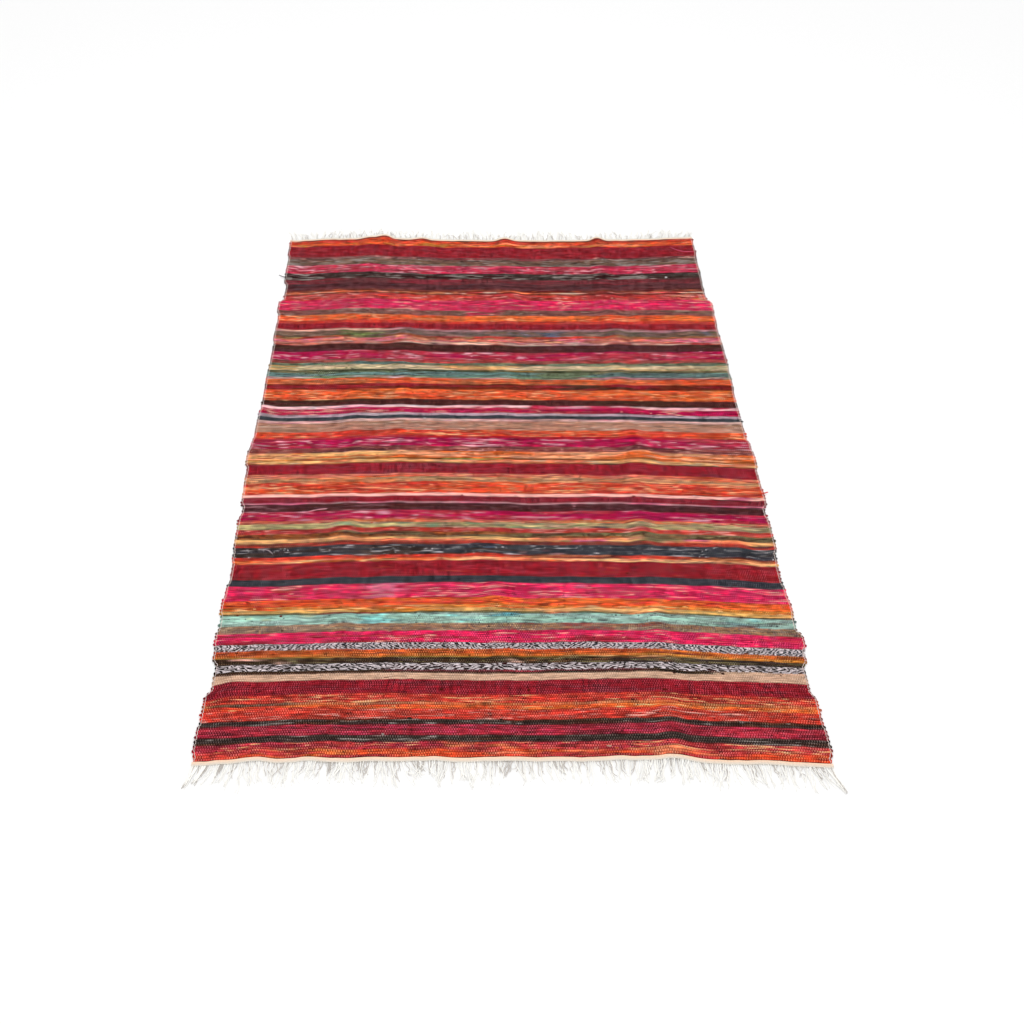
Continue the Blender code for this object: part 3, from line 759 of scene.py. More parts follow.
def tube(line, radii, sides, flatten=1.0):
    """Points and faces of a closed round thread along a line, pointed at both ends."""
    line = np.asarray(line, float)
    run = np.gradient(line, axis=0)
    run /= np.maximum(np.linalg.norm(run, axis=1, keepdims=True), 1e-9)
    side = np.cross(run, (0.0, 0.0, 1.0))
    side /= np.maximum(np.linalg.norm(side, axis=1, keepdims=True), 1e-9)
    up = np.cross(side, run)
    turn = np.arange(sides) * 2.0 * math.pi / sides + math.pi / sides
    ring = (side[:, None] * np.cos(turn)[:, None] + up[:, None] * np.sin(turn)[:, None] * flatten)
    points = line[:, None] + ring * np.asarray(radii)[:, None, None]
    points = points.reshape(-1, 3)
    count = len(line)
    faces = []
    for k in range(count - 1):
        for s in range(sides):
            a, b = k * sides + s, k * sides + (s + 1) % sides
            faces.append([a, b, b + sides, a + sides])
    faces.append(list(range(sides))[::-1])
    faces.append([(count - 1) * sides + s for s in range(sides)])
    return points, faces


# ------------------------------------------------------------------ woven field
def column_places(side):
    """Places of the columns on one half of the cloth, from 0 at the middle to 1 at its selvedge."""
    inner = np.linspace(0.0, 1.0 - 2.0 * SELVEDGE_COLUMNS[0] / BOW_REACH, HALF_COLUMNS)
    inner = np.insert(inner, 1, SEAM_COLUMN / BOW_REACH)
    outer = [1.0 - away / BOW_REACH for away in SELVEDGE_COLUMNS] + [1.0]
    places = np.concatenate([inner, outer])
    return places if side == "right" else -places[::-1]


def field_piece(picks, first, last, side):
    """One half of the cloth between two picks, as arrays."""
    places = column_places(side)
    count = last - first
    pick = np.minimum(first + np.arange(3 * count + 1) // 3, last - 1)
    phase = np.array(PICK_ROWS)[np.arange(3 * count + 1) % 3]
    phase[-1] = 1.0
    y = picks.start[pick] + picks.depth[pick] * phase
    crest = (phase > 0.0) & (phase < 1.0)
    stray = along_rags(np.full(len(pick), HAND[side] * 0.3), pick, 0.05, 71)
    reach = shown_reach(y, side) - BODY_INSET
    reach = reach + (LOOP_REACH + LOOP_STRAY * (2.0 * stray - 1.0)) * crest
    x = places[None, :] * reach[:, None]
    yy, rows = widened(y, len(places)), widened(pick, len(places))
    under = lift(x, yy)
    slub = along_rags(x, rows, SLUB_LENGTH, 72) - 0.5
    rise = np.where(crest[:, None], CREST_RISE + SLUB_RISE * slub, -GROOVE_DROP)
    from_edge = (1.0 - np.abs(places)) * BOW_REACH
    rounding = np.sqrt(np.clip(1.0 - (1.0 - from_edge / EDGE_ROUND) ** 2, 0.0, 1.0))
    rounding = np.where(from_edge < EDGE_ROUND, rounding, 1.0)
    top = EDGE_HEIGHT + (CLOTH_THICKNESS + rise - EDGE_HEIGHT) * rounding
    ragged = ROW_RAGGED * (2.0 * along_rags(x, rows, 0.020, 73) - 1.0) * crest[:, None]
    points_top = np.stack([x, laid(x, yy) + ragged, under + top], axis=-1)

    middle = np.concatenate([[0], 3 * np.arange(count) + 1, [3 * count]])
    y_under = np.concatenate([y[:1], picks.start[first:last] + picks.depth[first:last] / 2, y[-1:]])
    x_under = x[middle]
    yy_under = widened(y_under, len(places))
    bottom = (EDGE_HEIGHT - EDGE_BELOW) * (1.0 - rounding)
    z_under = lift(x_under, yy_under) + UNDERSIDE_GAP + bottom
    points_under = np.stack([x_under, laid(x_under, yy_under), z_under], axis=-1)

    ground, fleck, manner = rag_colours(x, rows, picks)
    valley = (phase == 0.0) & (np.arange(len(pick)) > 0)
    before = np.maximum(rows - 1, first)
    other = rag_colours(x, before, picks)[0]
    ground = np.where(valley[:, None, None], (ground + other) / 2.0, ground)
    dots = np.where(from_edge < EDGE_ROUND, 0.0, 1.0)[None, :] * np.ones_like(x)
    pale = np.clip((ground @ LIGHTNESS - PALE_FROM) / PALE_OVER, 0.0, 1.0)
    dots = dots * (1.0 - DOTS_LOST * pale)
    dots = dots * np.where(manner[..., 2] > 0.0, DOTS_ON_TWIST, 1.0)
    manner = np.concatenate([manner, dots[..., None]], axis=-1)
    warp = places[None, :] * (BOW_REACH / MM / WARP_MM) * np.ones_like(x)
    number = widened(pick + phase, len(places))
    weave = np.stack([warp, number], axis=-1)

    faces, walls = cloth_faces(len(places), count)
    flat = list(walls["ends"]) + list(walls["left" if side == "right" else "right"])

    def both(values):
        return np.concatenate([values.reshape(-1, values.shape[-1]),
                               values[middle].reshape(-1, values.shape[-1])])

    points = np.concatenate([points_top.reshape(-1, 3), points_under.reshape(-1, 3)])
    return Shape(points, faces, both(ground), both(fleck), both(manner), both(weave), flat)


def on_face(x, y):
    """A place on the cloth's upper face, given in the cloth's own straight measure."""
    spot = np.array([x]), np.array([y])
    return np.array([x, laid(*spot)[0], lift(*spot)[0] + CLOTH_THICKNESS])


def plain_shape(points, faces, colour):
    """A shape of one yarn, without flecks or warp dots."""
    count = len(points)
    ground = np.tile(colour, (count, 1))
    weave = points[:, :2] / MM / np.array([WARP_MM, PICK_MM])
    return Shape(points, faces, ground, ground, np.zeros((count, 4)), weave, [])


def knot_shape(knot, chance):
    """A doubled rag end: a lumpy, flattened bead that lies along the weft."""
    half = knot.half_mm * MM
    shares = np.linspace(-1.0, 1.0, 7)
    line = []
    for share in shares:
        spot = on_face(knot.x_mm * MM + share * half, knot.y_mm * MM)
        line.append(spot + (0.0, chance.uniform(-KNOT_STRAY, KNOT_STRAY), -KNOT_SUNK))
    radii = KNOT_RADIUS * np.sqrt(np.clip(1.04 - shares ** 2, 0.0, 1.0))
    radii = radii * np.array([chance.uniform(*KNOT_LUMPS) for _ in shares])
    points, faces = tube(line, radii, KNOT_SIDES, KNOT_FLATTEN)
    return plain_shape(points, faces, yarn(knot.yarn) * KNOT_SHADE)


def thread_shape(places, colour, radius):
    """A loose thread that lies on the face through given places."""
    places = np.array(places, float)
    stops = np.linspace(0.0, len(places) - 1.0, 4 * (len(places) - 1) + 1)
    x = np.interp(stops, range(len(places)), places[:, 0])
    y = np.interp(stops, range(len(places)), places[:, 1])
    line = np.array([on_face(a, b) + (0.0, 0.0, radius) for a, b in zip(x, y)])
    radii = np.full(len(line), radius)
    radii[0] = radii[-1] = radius * 0.4
    return plain_shape(*tube(line, radii, THREAD_SIDES), colour)


def turned_rags(picks, first, last, side, chance):
    """Small loops where a rag turns round the outer warp from one pick to the next."""
    shapes = []
    for pick in range(first + (0 if side == "right" else 1), last - 1, 2):
        low = picks.start[pick] + picks.depth[pick] * 0.5
        high = picks.start[pick + 1] + picks.depth[pick + 1] * 0.5
        middle, half = (low + high) / 2.0, (high - low) / 2.0
        edge = float(shown_reach(np.array([middle]), side)[0])
        stands_out = chance.random() < PROUD_TURNS
        out = chance.uniform(*(PROUD_OUT if stands_out else TURN_OUT))
        thick = chance.uniform(*TURN_RADIUS)
        line = []
        for turn in np.linspace(-0.5, 0.5, 7):
            away = edge - TURN_DEPTH + (TURN_DEPTH + out - thick) * math.cos(turn * math.pi)
            spot = on_face(HAND[side] * away, middle + half * math.sin(turn * math.pi))
            spot[2] += -CLOTH_THICKNESS + EDGE_HEIGHT + TURN_RAISED
            line.append(spot)
        radii = thick * np.array([0.7, 0.9, 1.0, chance.uniform(1.0, 1.25), 1.0, 0.9, 0.7])
        points, faces = tube(line, radii, TURN_SIDES)
        x = points[:, 0]
        rows = np.full(len(points), pick)
        ground, fleck, manner = rag_colours(x, rows, picks)
        # Painted shade: each turned rag is darker than its stripe, for its shaded side.
        ground = ground * TURN_PAINTED_SHADE * chance.uniform(*TURN_TONES)
        manner = np.hstack([manner, np.zeros((len(points), 1))])
        weave = np.stack([x / MM / WARP_MM, rows + 0.5 + points[:, 1] * 0.0], axis=-1)
        shapes.append(Shape(points, faces, ground, fleck, manner, weave, []))
    return shapes


def edge_warps(picks, first, last, side):
    """The doubled outer warps, which dive under every other pick and show as a pale dotted line."""
    shapes = []
    pick = np.arange(first, last)
    middle = picks.start[pick] + picks.depth[pick] / 2.0
    low, high = picks.start[first], picks.start[last - 1] + picks.depth[last - 1]
    stops = np.concatenate([[low], (middle[1:] + middle[:-1]) / 2.0, [high]])
    for inset, over in EDGE_WARPS:
        y = np.empty(2 * len(pick) + 1)
        y[0::2], y[1::2] = stops, middle
        depth = np.full(len(y), EDGE_WARP_BETWEEN)
        depth[1::2] = np.where(pick % 2 == over, EDGE_WARP_OVER, EDGE_WARP_UNDER)
        x = HAND[side] * (shown_reach(y, side) - inset)
        line = np.stack([x, laid(x, y), lift(x, y) + CLOTH_THICKNESS + depth], axis=-1)
        warp = tube(line, np.full(len(line), EDGE_WARP_RADIUS), THREAD_SIDES)
        shapes.append(plain_shape(*warp, yarn("warp cotton")))
    return shapes


def stray_threads(picks, chance):
    """Short thread ends all over the face: three places of each, and its colour."""
    strays = []
    for _ in range(STRAY_THREADS):
        centre = np.array([chance.uniform(-half, half) for half in STRAY_AREA])
        pick = np.array([np.searchsorted(picks.start, centre[1]) - 1])
        ground, fleck, _ = rag_colours(centre[:1], pick, picks)
        colour = (fleck if chance.random() < STRAY_FLECKED else ground * STRAY_SHADE)[0]
        lean = chance.gauss(0.0, STRAY_LEAN)
        half = chance.uniform(*STRAY_LENGTHS) / 2.0
        bend = chance.uniform(-STRAY_BEND, STRAY_BEND)
        run = np.array([math.cos(lean), math.sin(lean)]) * half
        across = np.array([-run[1], run[0]]) * bend
        strays.append(([centre - run, centre + across, centre + run], centre, colour))
    return strays


def build_field(material):
    """The woven field in eight pieces, each with its selvedge, knots and loose threads."""
    picks = beat_up()
    count = len(picks.start)
    seams = [0] + [round(count * share) for share in SEAM_SHARES] + [count]
    chance = random.Random(FACE_SEED)
    strays = stray_threads(picks, chance)
    for part, (first, last) in enumerate(zip(seams, seams[1:])):
        low = picks.start[first]
        high = picks.start[last - 1] + picks.depth[last - 1]
        for side, hand in HAND.items():

            def here(x, y):
                return low <= y < high and x * hand > 0

            shapes = [field_piece(picks, first, last, side)]
            shapes += turned_rags(picks, first, last, side, chance)
            shapes += edge_warps(picks, first, last, side)
            for knot in KNOT_TABLE:
                if here(knot.x_mm * MM, knot.y_mm * MM):
                    shapes.append(knot_shape(knot, chance))
            for thread in THREAD_TABLE:
                places = [(x * MM, y * MM) for x, y in thread.places_mm]
                radius = thread.thick_mm * MM / 2.0
                if here(*places[0]):
                    shapes.append(thread_shape(places, yarn(thread.yarn), radius))
            for places, centre, colour in strays:
                if here(*centre):
                    shapes.append(thread_shape(places, colour, STRAY_THICK))
            name = f"woven_field_{part + 1}_{side}"
            piece = make_piece(name, join(shapes), material, "woven_field")
            high - low


# ------------------------------------------------------------------ headings and warp ends
HEADING_PICKS = 5
HEADING_CREST = 0.0002
HEADING_GROOVE = 0.0005
HEADING_UNEVEN = 0.0006
# The outer pick of each heading is in a greyer cream: painted shade where the heading's edge drops
# to the fringe.
HEADING_YARNS = ("peach cream", "peach cream", "warm cream", "warm cream", "cream with painted shade")
ENDS_IN_LOCK = (4, 6)         # twisted warp ends that gather in one lock
END_RADIUS = (0.00085, 0.00130)
END_SPREAD = 0.0086           # how far apart the ends of one lock leave the heading
END_GATHER = 0.60             # share of the length in which they come together
END_APART = 0.0036            # and how close they lie then
END_STEPS = 8
END_SIDES = 5
STRAY_ENDS = 0.32             # share of ends that leave their lock
PAINTED_SHADE_ENDS = 0.34            # share of ends that are short, thin and greyer than the rest: painted shade among the ends
SHADED_LENGTHS = (0.40, 0.75)
SHADED_THICKNESS = 0.75
STRAY_END_LEAN = 0.45
STRAY_END_CURL = 0.5
STRAY_END_RAISED = 0.0012
SPREAD_STRAY = 0.0008
APART_UNEVEN = (0.5, 1.6)
LENGTH_UNEVEN = (0.82, 1.06)
END_LAYERS = 0.0018           # how high the ends of a lock lie on each other
END_WAVES = ((0.0010, 0.0064), (4.0, 9.0), (0.0, 6.0))  # wave of an end: reach, turns and start
END_TONES = (0.96, 1.05)
END_ROOTED = 0.0012           # how far in the heading an end starts
CORNER_BUNDLES = (0, 1, LOCKS - 1)  # near locks whose ends lie bundled
CORNER_ENDS = 10
CORNER_APART = 0.8
CORNER_WAVE = 0.4
LONG_END_X = -580 * MM        # two ends by this place are longer than the rest
LONG_END_NEAR = 0.009
LONG_END_LENGTH = 76 * MM


def heading_shape(outwards, side):
    """Half of the narrow cream strip of plain cotton picks at one end."""
    places = column_places(side)
    inner = outwards * (FIELD_LENGTH / 2.0 + PARTING)
    edges = np.linspace(0.0, HEADING_DEPTH, HEADING_PICKS + 1)
    share = np.arange(3 * HEADING_PICKS + 1) / 3.0
    depth = np.interp(share, range(HEADING_PICKS + 1), edges)
    y = inner - depth[::-1] if outwards < 0.0 else inner + depth
    crest = (np.arange(len(y)) % 3) > 0
    end = outwards * FIELD_LENGTH / 2.0
    left, right = selvedge_reach(np.full(len(y), end))
    x = places[None, :] * (right if side == "right" else left)[:, None]
    yy, at_end = widened(y, len(places)), np.full_like(x, end)
    uneven = HEADING_UNEVEN * (2.0 * noise(x, yy, 0.045, 0.02, 81) - 1.0)
    rise = np.where(crest[:, None], HEADING_CREST, -HEADING_GROOVE)
    under = lift(x, at_end)
    shifted = laid(x, yy, at_end) + uneven
    top = np.stack([x, shifted, under + HEADING_THICKNESS + rise], axis=-1)
    middle = np.concatenate([[0], 3 * np.arange(HEADING_PICKS) + 1, [len(y) - 1]])
    bottom = np.stack([x[middle], shifted[middle], under[middle] + UNDERSIDE_GAP], axis=-1)
    points = np.concatenate([top.reshape(-1, 3), bottom.reshape(-1, 3)])
    faces, walls = cloth_faces(len(places), HEADING_PICKS)
    flat = [face for wall in walls.values() for face in wall]
    warp = places[None, :] * (BOW_REACH / MM / WARP_MM) * np.ones_like(x)
    number = widened(share, len(places))
    weave = np.stack([warp, number], axis=-1)
    weave = np.concatenate([weave.reshape(-1, 2), weave[middle].reshape(-1, 2)])
    row_yarn = HEADING_YARNS if outwards > 0.0 else HEADING_YARNS[::-1]
    row = np.minimum(share.astype(int), HEADING_PICKS - 1)
    row = np.concatenate([np.repeat(row, len(places)), np.repeat(row[middle], len(places))])
    colour = np.array([yarn(name) for name in row_yarn])[row]
    return Shape(points, faces, colour, colour, np.zeros((len(points), 4)), weave, flat)


def lock_lean(share, locks_to_corner, outward, chance):
    """How far a lock leans: the fringe is combed in waves and splays out at the corners."""
    lean = sum(size * math.sin(share * turns + start) for size, turns, start in LEAN_WAVES)
    lean += chance.uniform(-OWN_LEAN, OWN_LEAN)
    lean += outward * CORNER_SPLAY * math.exp(-(locks_to_corner / CORNER_LOCKS) ** 2)
    return math.radians(lean)


def lock_lines(outwards):
    """The solids' locks: root place, lean, length and curl of each."""
    chance = random.Random(FRINGE_SEED + (1 if outwards > 0 else 0))
    end = np.array([outwards * FIELD_LENGTH / 2.0])
    left, right = (float(reach[0]) for reach in selvedge_reach(end))
    pitch = (left + right) / LOCKS
    roots = [-left + pitch * (lock + 0.5 + chance.uniform(-LOCK_STRAY, LOCK_STRAY))
             for lock in range(LOCKS)]
    lines = []
    for lock, root in enumerate(roots):
        to_left, to_right = lock, LOCKS - 1 - lock
        outward = -1.0 if to_left < to_right else 1.0
        lean = lock_lean(lock / LOCKS, min(to_left, to_right), outward, chance)
        length = chance.uniform(*LOCK_LENGTHS)
        curl = math.radians(chance.uniform(-OWN_CURL, OWN_CURL))
        lines.append((root, lean, length, curl))
    return lines


def warp_end(root_x, spread, lean, curl, length, outwards, apart, radius, layer, wave):
    """One twisted warp end from the heading's outer side down to the floor."""
    shares = np.linspace(0.0, 1.0, END_STEPS)
    angle = lean * (LOCK_ROOT_LEAN + (1.0 - LOCK_ROOT_LEAN) * shares) + curl * shares
    step = length / (END_STEPS - 1)
    along_x = np.concatenate([[0.0], np.cumsum(np.sin(angle[1:])) * step])
    along_y = np.concatenate([[0.0], np.cumsum(np.cos(angle[1:])) * step])
    gathered = smooth(np.clip(shares / END_GATHER, 0.0, 1.0))
    aside = spread * (1.0 - gathered) + apart * gathered
    aside = aside + wave[0] * shares * np.sin(shares * wave[1] + wave[2])
    x = root_x + along_x + aside * np.cos(angle)
    outer = FIELD_LENGTH / 2.0 + PARTING + HEADING_DEPTH - END_ROOTED
    y = outwards * (outer + along_y) - outwards * aside * np.sin(angle)
    at_end = np.full_like(x, outwards * FIELD_LENGTH / 2.0)
    height = lift(x, at_end) * np.clip(1.0 - shares / LOCK_DROP, 0.0, 1.0) ** 2
    z = height + radius + layer * smooth(np.clip(shares * 3.0, 0.0, 1.0))
    z = z + (HEADING_THICKNESS / 2.0 - radius) * (1.0 - smooth(np.clip(shares * 4.0, 0.0, 1.0)))
    at_root = np.full_like(x, root_x)
    line = np.stack([x, laid(at_root, y, at_end), z], axis=-1)
    radii = radius * np.interp(shares, (0.0, 0.15, 0.8, 1.0), (0.9, 1.0, 0.95, 0.5))
    return line, radii


def warp_ends(outwards, side):
    """All the warp ends of one half of one end, as one shape."""
    shapes = []
    for lock, (root, lean, length, curl) in enumerate(lock_lines(outwards)):
        if root * HAND[side] <= 0.0:
            continue
        chance = random.Random(lock * 2 + (1 if outwards > 0 else 0))
        count = chance.randint(*ENDS_IN_LOCK)
        at_corner = outwards < 0.0 and lock in CORNER_BUNDLES
        count = CORNER_ENDS if at_corner else count
        for end in range(count):
            even = (end + 0.5) / count * 2.0 - 1.0
            spread = even * END_SPREAD + chance.uniform(-SPREAD_STRAY, SPREAD_STRAY)
            radius = chance.uniform(*END_RADIUS)
            own_lean, own_curl = lean, curl
            layer = chance.uniform(0.0, END_LAYERS)
            apart = even * END_APART * chance.uniform(*APART_UNEVEN)
            if at_corner:
                apart *= CORNER_APART
            elif chance.random() < STRAY_ENDS:
                own_lean += chance.uniform(-STRAY_END_LEAN, STRAY_END_LEAN)
                own_curl += chance.uniform(-STRAY_END_CURL, STRAY_END_CURL)
                apart = spread
                layer += STRAY_END_RAISED
            own_length = length * chance.uniform(*LENGTH_UNEVEN)
            shaded = chance.random() < PAINTED_SHADE_ENDS
            if shaded and not at_corner:
                own_length *= chance.uniform(*SHADED_LENGTHS)
                radius *= SHADED_THICKNESS
            near_long = abs(root - LONG_END_X) < LONG_END_NEAR and outwards < 0.0
            if near_long and end < 2:
                own_length = LONG_END_LENGTH
            wave = [chance.uniform(*reach) for reach in END_WAVES]
            if at_corner:
                wave[0] *= CORNER_WAVE
            line, radii = warp_end(root, spread, own_lean, own_curl, own_length, outwards,
                                   apart, radius, layer, wave)
            points, faces = tube(line, radii, END_SIDES)
            around = np.tile(np.arange(END_SIDES) / END_SIDES, len(line))
            along = np.repeat(np.linspace(0.0, own_length / MM, len(line)), END_SIDES)
            # Painted shade: some ends are grey for the shadows between the ends near the heading.
            colour = yarn("cotton with painted shade" if shaded else "undyed") * chance.uniform(*END_TONES)
            shape = plain_shape(points, faces, colour)
            shapes.append(shape._replace(weave=np.stack([around, along], axis=-1)))
    return join(shapes)


def build_headings(heading_material, end_material):
    """Both headings and their warp ends, each in a left and a right piece."""
    for outwards, end in ((-1.0, "near"), (1.0, "far")):
        node = f"heading_{end}"
        for side in HAND:
            ends = make_piece(f"warp_ends_{end}_{side}", warp_ends(outwards, side),
                              end_material, node)
            strip = make_piece(f"cotton_heading_{end}_{side}", heading_shape(outwards, side),
                               heading_material, node)


# ------------------------------------------------------------------ materials
class Value:
    """One output of a node. Reckoning with it, as in warp + 1, adds the Math node for that."""

    def __init__(self, tree, socket):
        self.tree, self.socket = tree, socket

    def reckon(self, operation, *values):
        return add(self.tree, "ShaderNodeMath", dict(enumerate(values)), operation=operation)

    def __add__(self, other):
        return self.reckon("ADD", self, other)

    def __radd__(self, other):
        return self.reckon("ADD", other, self)

    def __sub__(self, other):
        return self.reckon("SUBTRACT", self, other)

    def __rsub__(self, other):
        return self.reckon("SUBTRACT", other, self)

    def __mul__(self, other):
        return self.reckon("MULTIPLY", self, other)

    def __truediv__(self, other):
        return self.reckon("DIVIDE", self, other)

    def __mod__(self, other):
        return self.reckon("FLOORED_MODULO", self, other)

    def __abs__(self):
        return self.reckon("ABSOLUTE", self)

    def __floor__(self):
        return self.reckon("FLOOR", self)

    def __round__(self):
        return self.reckon("ROUND", self)


def add(tree, kind, inputs=None, output=0, **settings):
    """Adds a node with its settings. A node's output given as an input is linked to it."""
    made = tree.nodes.new(kind)
    for name, value in settings.items():
        setattr(made, name, value)
    for socket, value in (inputs or {}).items():
        if isinstance(value, Value):
            tree.links.new(value.socket, made.inputs[socket])
        else:
            made.inputs[socket].default_value = value
    return Value(tree, made.outputs[output])


def new_material(name, roughness, sheen, specular):
    """A matte material, and its shader."""
    material = bpy.data.materials.new(name)
    material.use_nodes = True
    shader = material.node_tree.nodes["Principled BSDF"]
    shader.inputs["Roughness"].default_value = roughness
    shader.inputs["Sheen Weight"].default_value = sheen
    shader.inputs["Sheen Roughness"].default_value = 0.5
    shader.inputs["Specular IOR Level"].default_value = specular
    return material, shader


def finish_cotton(shader, colour, height, distance, strength):
    """Gives a shader its colour and its bump, so many metres deep."""
    bump = add(colour.tree, "ShaderNodeBump",
               {"Height": height, "Distance": distance, "Strength": strength})
    colour.tree.links.new(colour.socket, shader.inputs["Base Color"])
    colour.tree.links.new(bump.socket, shader.inputs["Normal"])


def cotton_rag_weave():
    """Matte torn cotton rags, woven weft-faced over thin undyed cotton warps.

    The eye gets stripes of streaky dyed cloth, broken dark valleys between the rags with painted
    shade, fine thread lines along each rag and rows of small dots where the warps cross, which
    change place from pick to pick, each with painted shade on the rag beside it. The warps are 2.8
    mm apart.
    Their dots are drawn nearly as wide as that, about twice their real width, so that they show.
    """
    material, shader = new_material("woven_cotton_rags", 0.94, 0.02, 0.08)
    node = functools.partial(add, material.node_tree)
    eased = {"interpolation_type": "SMOOTHSTEP"}
    scaled = {"operation": "SCALE"}
    mixed = {"data_type": "RGBA", "output": 2}

    # Places are counted in warps across and picks along.
    uv = node("ShaderNodeUVMap", uv_map="weave")
    warp, pick = (node("ShaderNodeSeparateXYZ", {0: uv}, output=axis) for axis in (0, 1))
    ground = node("ShaderNodeAttribute", attribute_name="ground", output="Color")
    fleck = node("ShaderNodeAttribute", attribute_name="fleck", output="Color")
    manner = node("ShaderNodeAttribute", attribute_name="manner", output="Color")
    dots_here = node("ShaderNodeAttribute", attribute_name="manner", output="Alpha")
    streaks, specks, twist_mm = (
        node("ShaderNodeSeparateColor", {0: manner}, output=way) for way in (0, 1, 2))
    woven = node("ShaderNodeMath", {0: dots_here, 1: 1.0}, operation="MINIMUM")

    def field(across, along, seed, detail=1.0):
        """Noise over the weave: one hill is so many warps across and so many picks along."""
        place = node("ShaderNodeCombineXYZ", {0: warp / across, 1: pick / along, 2: seed})
        return node("ShaderNodeTexNoise", {"Vector": place, "Scale": 1.0, "Detail": detail})

    def lines(across, rows, seed):
        """Noise that runs along single threads: so many warps long, so many threads in a pick."""
        line = math.floor(pick * rows)
        place = node("ShaderNodeCombineXYZ", {
            0: warp / across + line * 3.71, 1: line * 7.13, 2: seed})
        return node("ShaderNodeTexNoise", {"Vector": place, "Scale": 1.0, "Detail": 1.0})

    def threads(amount, shown_by, start, reach):
        """Where threads of the fleck colour show, for an amount from 0 to 1."""
        over = shown_by - (start - amount * reach)
        shown = node("ShaderNodeMapRange", {0: over, 1: -0.04, 2: 0.14}, **eased)
        return shown * node("ShaderNodeMath", {0: amount * 12.0, 1: 1.0}, operation="MINIMUM")

    def rag_tone(across, rows, seed, always, by_streaks):
        """Lighter and darker rags, the streaky ones most."""
        return (lines(across, rows, seed) - 0.5) * (always + streaks * by_streaks)

    # Streaks are threads 25 to 70 mm long and a third of a rag thick, more here and fewer there.
    # Specks are 4 to 8 mm long.
    patch = (field(55.0, 9.0, 1.3) - 0.5) * 0.30
    long_streak = threads(streaks, lines(34.0, 2.0, 1.3) + patch, 0.72, 0.42)
    short_streak = threads(streaks, lines(16.0, 2.0, 4.7) + patch, 0.72, 0.36)
    shaded = threads(streaks, lines(20.0, 2.0, 12.1) - patch, 0.70, 0.36)
    speck = threads(specks, lines(2.4, 2.0, 7.9), 0.72, 0.55)

    # Two-ply twist: slanting dashes that lean one way over two picks for 80 mm or so, then the
    # other way, and are a little thicker here and thinner there.
    row, column = math.floor(pick), math.floor(warp)
    in_pick, in_column = pick - row, warp - column
    pair = math.floor(pick * 0.5)
    zone = node("ShaderNodeCombineXYZ", {0: math.floor(warp / 29.0 + pair * 0.37), 1: pair})
    hand = round(node("ShaderNodeTexWhiteNoise", {0: zone}, noise_dimensions="2D")) * 2.0 - 1.0
    wobble = field(7.0, 1.0, 3.1, detail=2.0) * 2.8
    one_turn = node("ShaderNodeMath", {0: twist_mm, 1: 1.0}, operation="MAXIMUM")
    turns = warp * WARP_MM / one_turn + in_pick * hand * 0.8 + wobble
    ply = abs(node("ShaderNodeMath", {0: turns}, operation="FRACT") - 0.5)
    thick = (field(4.0, 0.8, 17.7) - 0.5) * 0.45
    twisted = node("ShaderNodeMath", {0: twist_mm, 1: 1.0}, operation="MINIMUM")
    twist = node("ShaderNodeMapRange", {0: ply + thick, 1: 0.19, 2: 0.34}, **eased) * twisted
    flecked = long_streak
    for more in (short_streak, speck, twist):
        flecked = node("ShaderNodeMath", {0: flecked, 1: more}, operation="MAXIMUM")

    # Each rag has its own tone, which changes every 30 mm or so: partly the rag's own colour,
    # partly painted shade on rags that lie deeper.
    own_tone = rag_tone(11.0, 1.0, 8.8, 0.65, 5.8)
    own_tone += rag_tone(4.0, 1.0, 16.3, 0.12, 1.8) + rag_tone(24.0, 0.5, 18.8, 0.10, 3.0)
    # Here and there a warp or two is tighter than the next over 25 mm or so, which shows most on
    # rags of one plain colour, but not on the smooth ones.
    tight_warps = math.floor(warp / 1.5)
    stretch = node("ShaderNodeCombineXYZ", {
        0: tight_warps, 1: math.floor(pick * 0.20 + tight_warps * 0.37)})
    warp_tone = node("ShaderNodeTexWhiteNoise", {0: stretch}, noise_dimensions="2D") - 0.5
    for value, low, high, start, end in ((field(16.0, 7.0, 14.2), 0.36, 0.62, 0.24, 0.96),
                                         (streaks, 0.04, 0.14, 1.0, 0.34),
                                         (streaks, -0.05, -0.01, 0.12, 1.0)):
        sockets = {0: value, 1: low, 2: high, 3: start, 4: end}
        warp_tone *= node("ShaderNodeMapRange", sockets, **eased)
    uneven = (1.0 + (own_tone + warp_tone * woven)) * (1.0 - shaded * 0.50)
    fleck_tone = node("ShaderNodeMapRange", {
        0: lines(7.0, 1.0, 15.5), 1: 0.30, 2: 0.70, 3: 0.76, 4: 1.10}, **eased)
    ground = node("ShaderNodeVectorMath", {0: ground, 3: uneven}, **scaled)
    fleck = node("ShaderNodeVectorMath", {0: fleck, 3: fleck_tone}, **scaled)
    colour = node("ShaderNodeMix", {0: flecked, 6: ground, 7: fleck}, **mixed)

    # Fine threads along the rag, a few tenths of a millimetre thick, drawn at 1.9 mm.
    fine = lines(9.0, 3.0, 5.5)
    fine_tone = node("ShaderNodeMapRange", {0: fine, 1: 0.28, 2: 0.72, 3: 0.68, 4: 1.26}, **eased)
    colour = node("ShaderNodeVectorMath", {0: colour, 3: fine_tone}, **scaled)
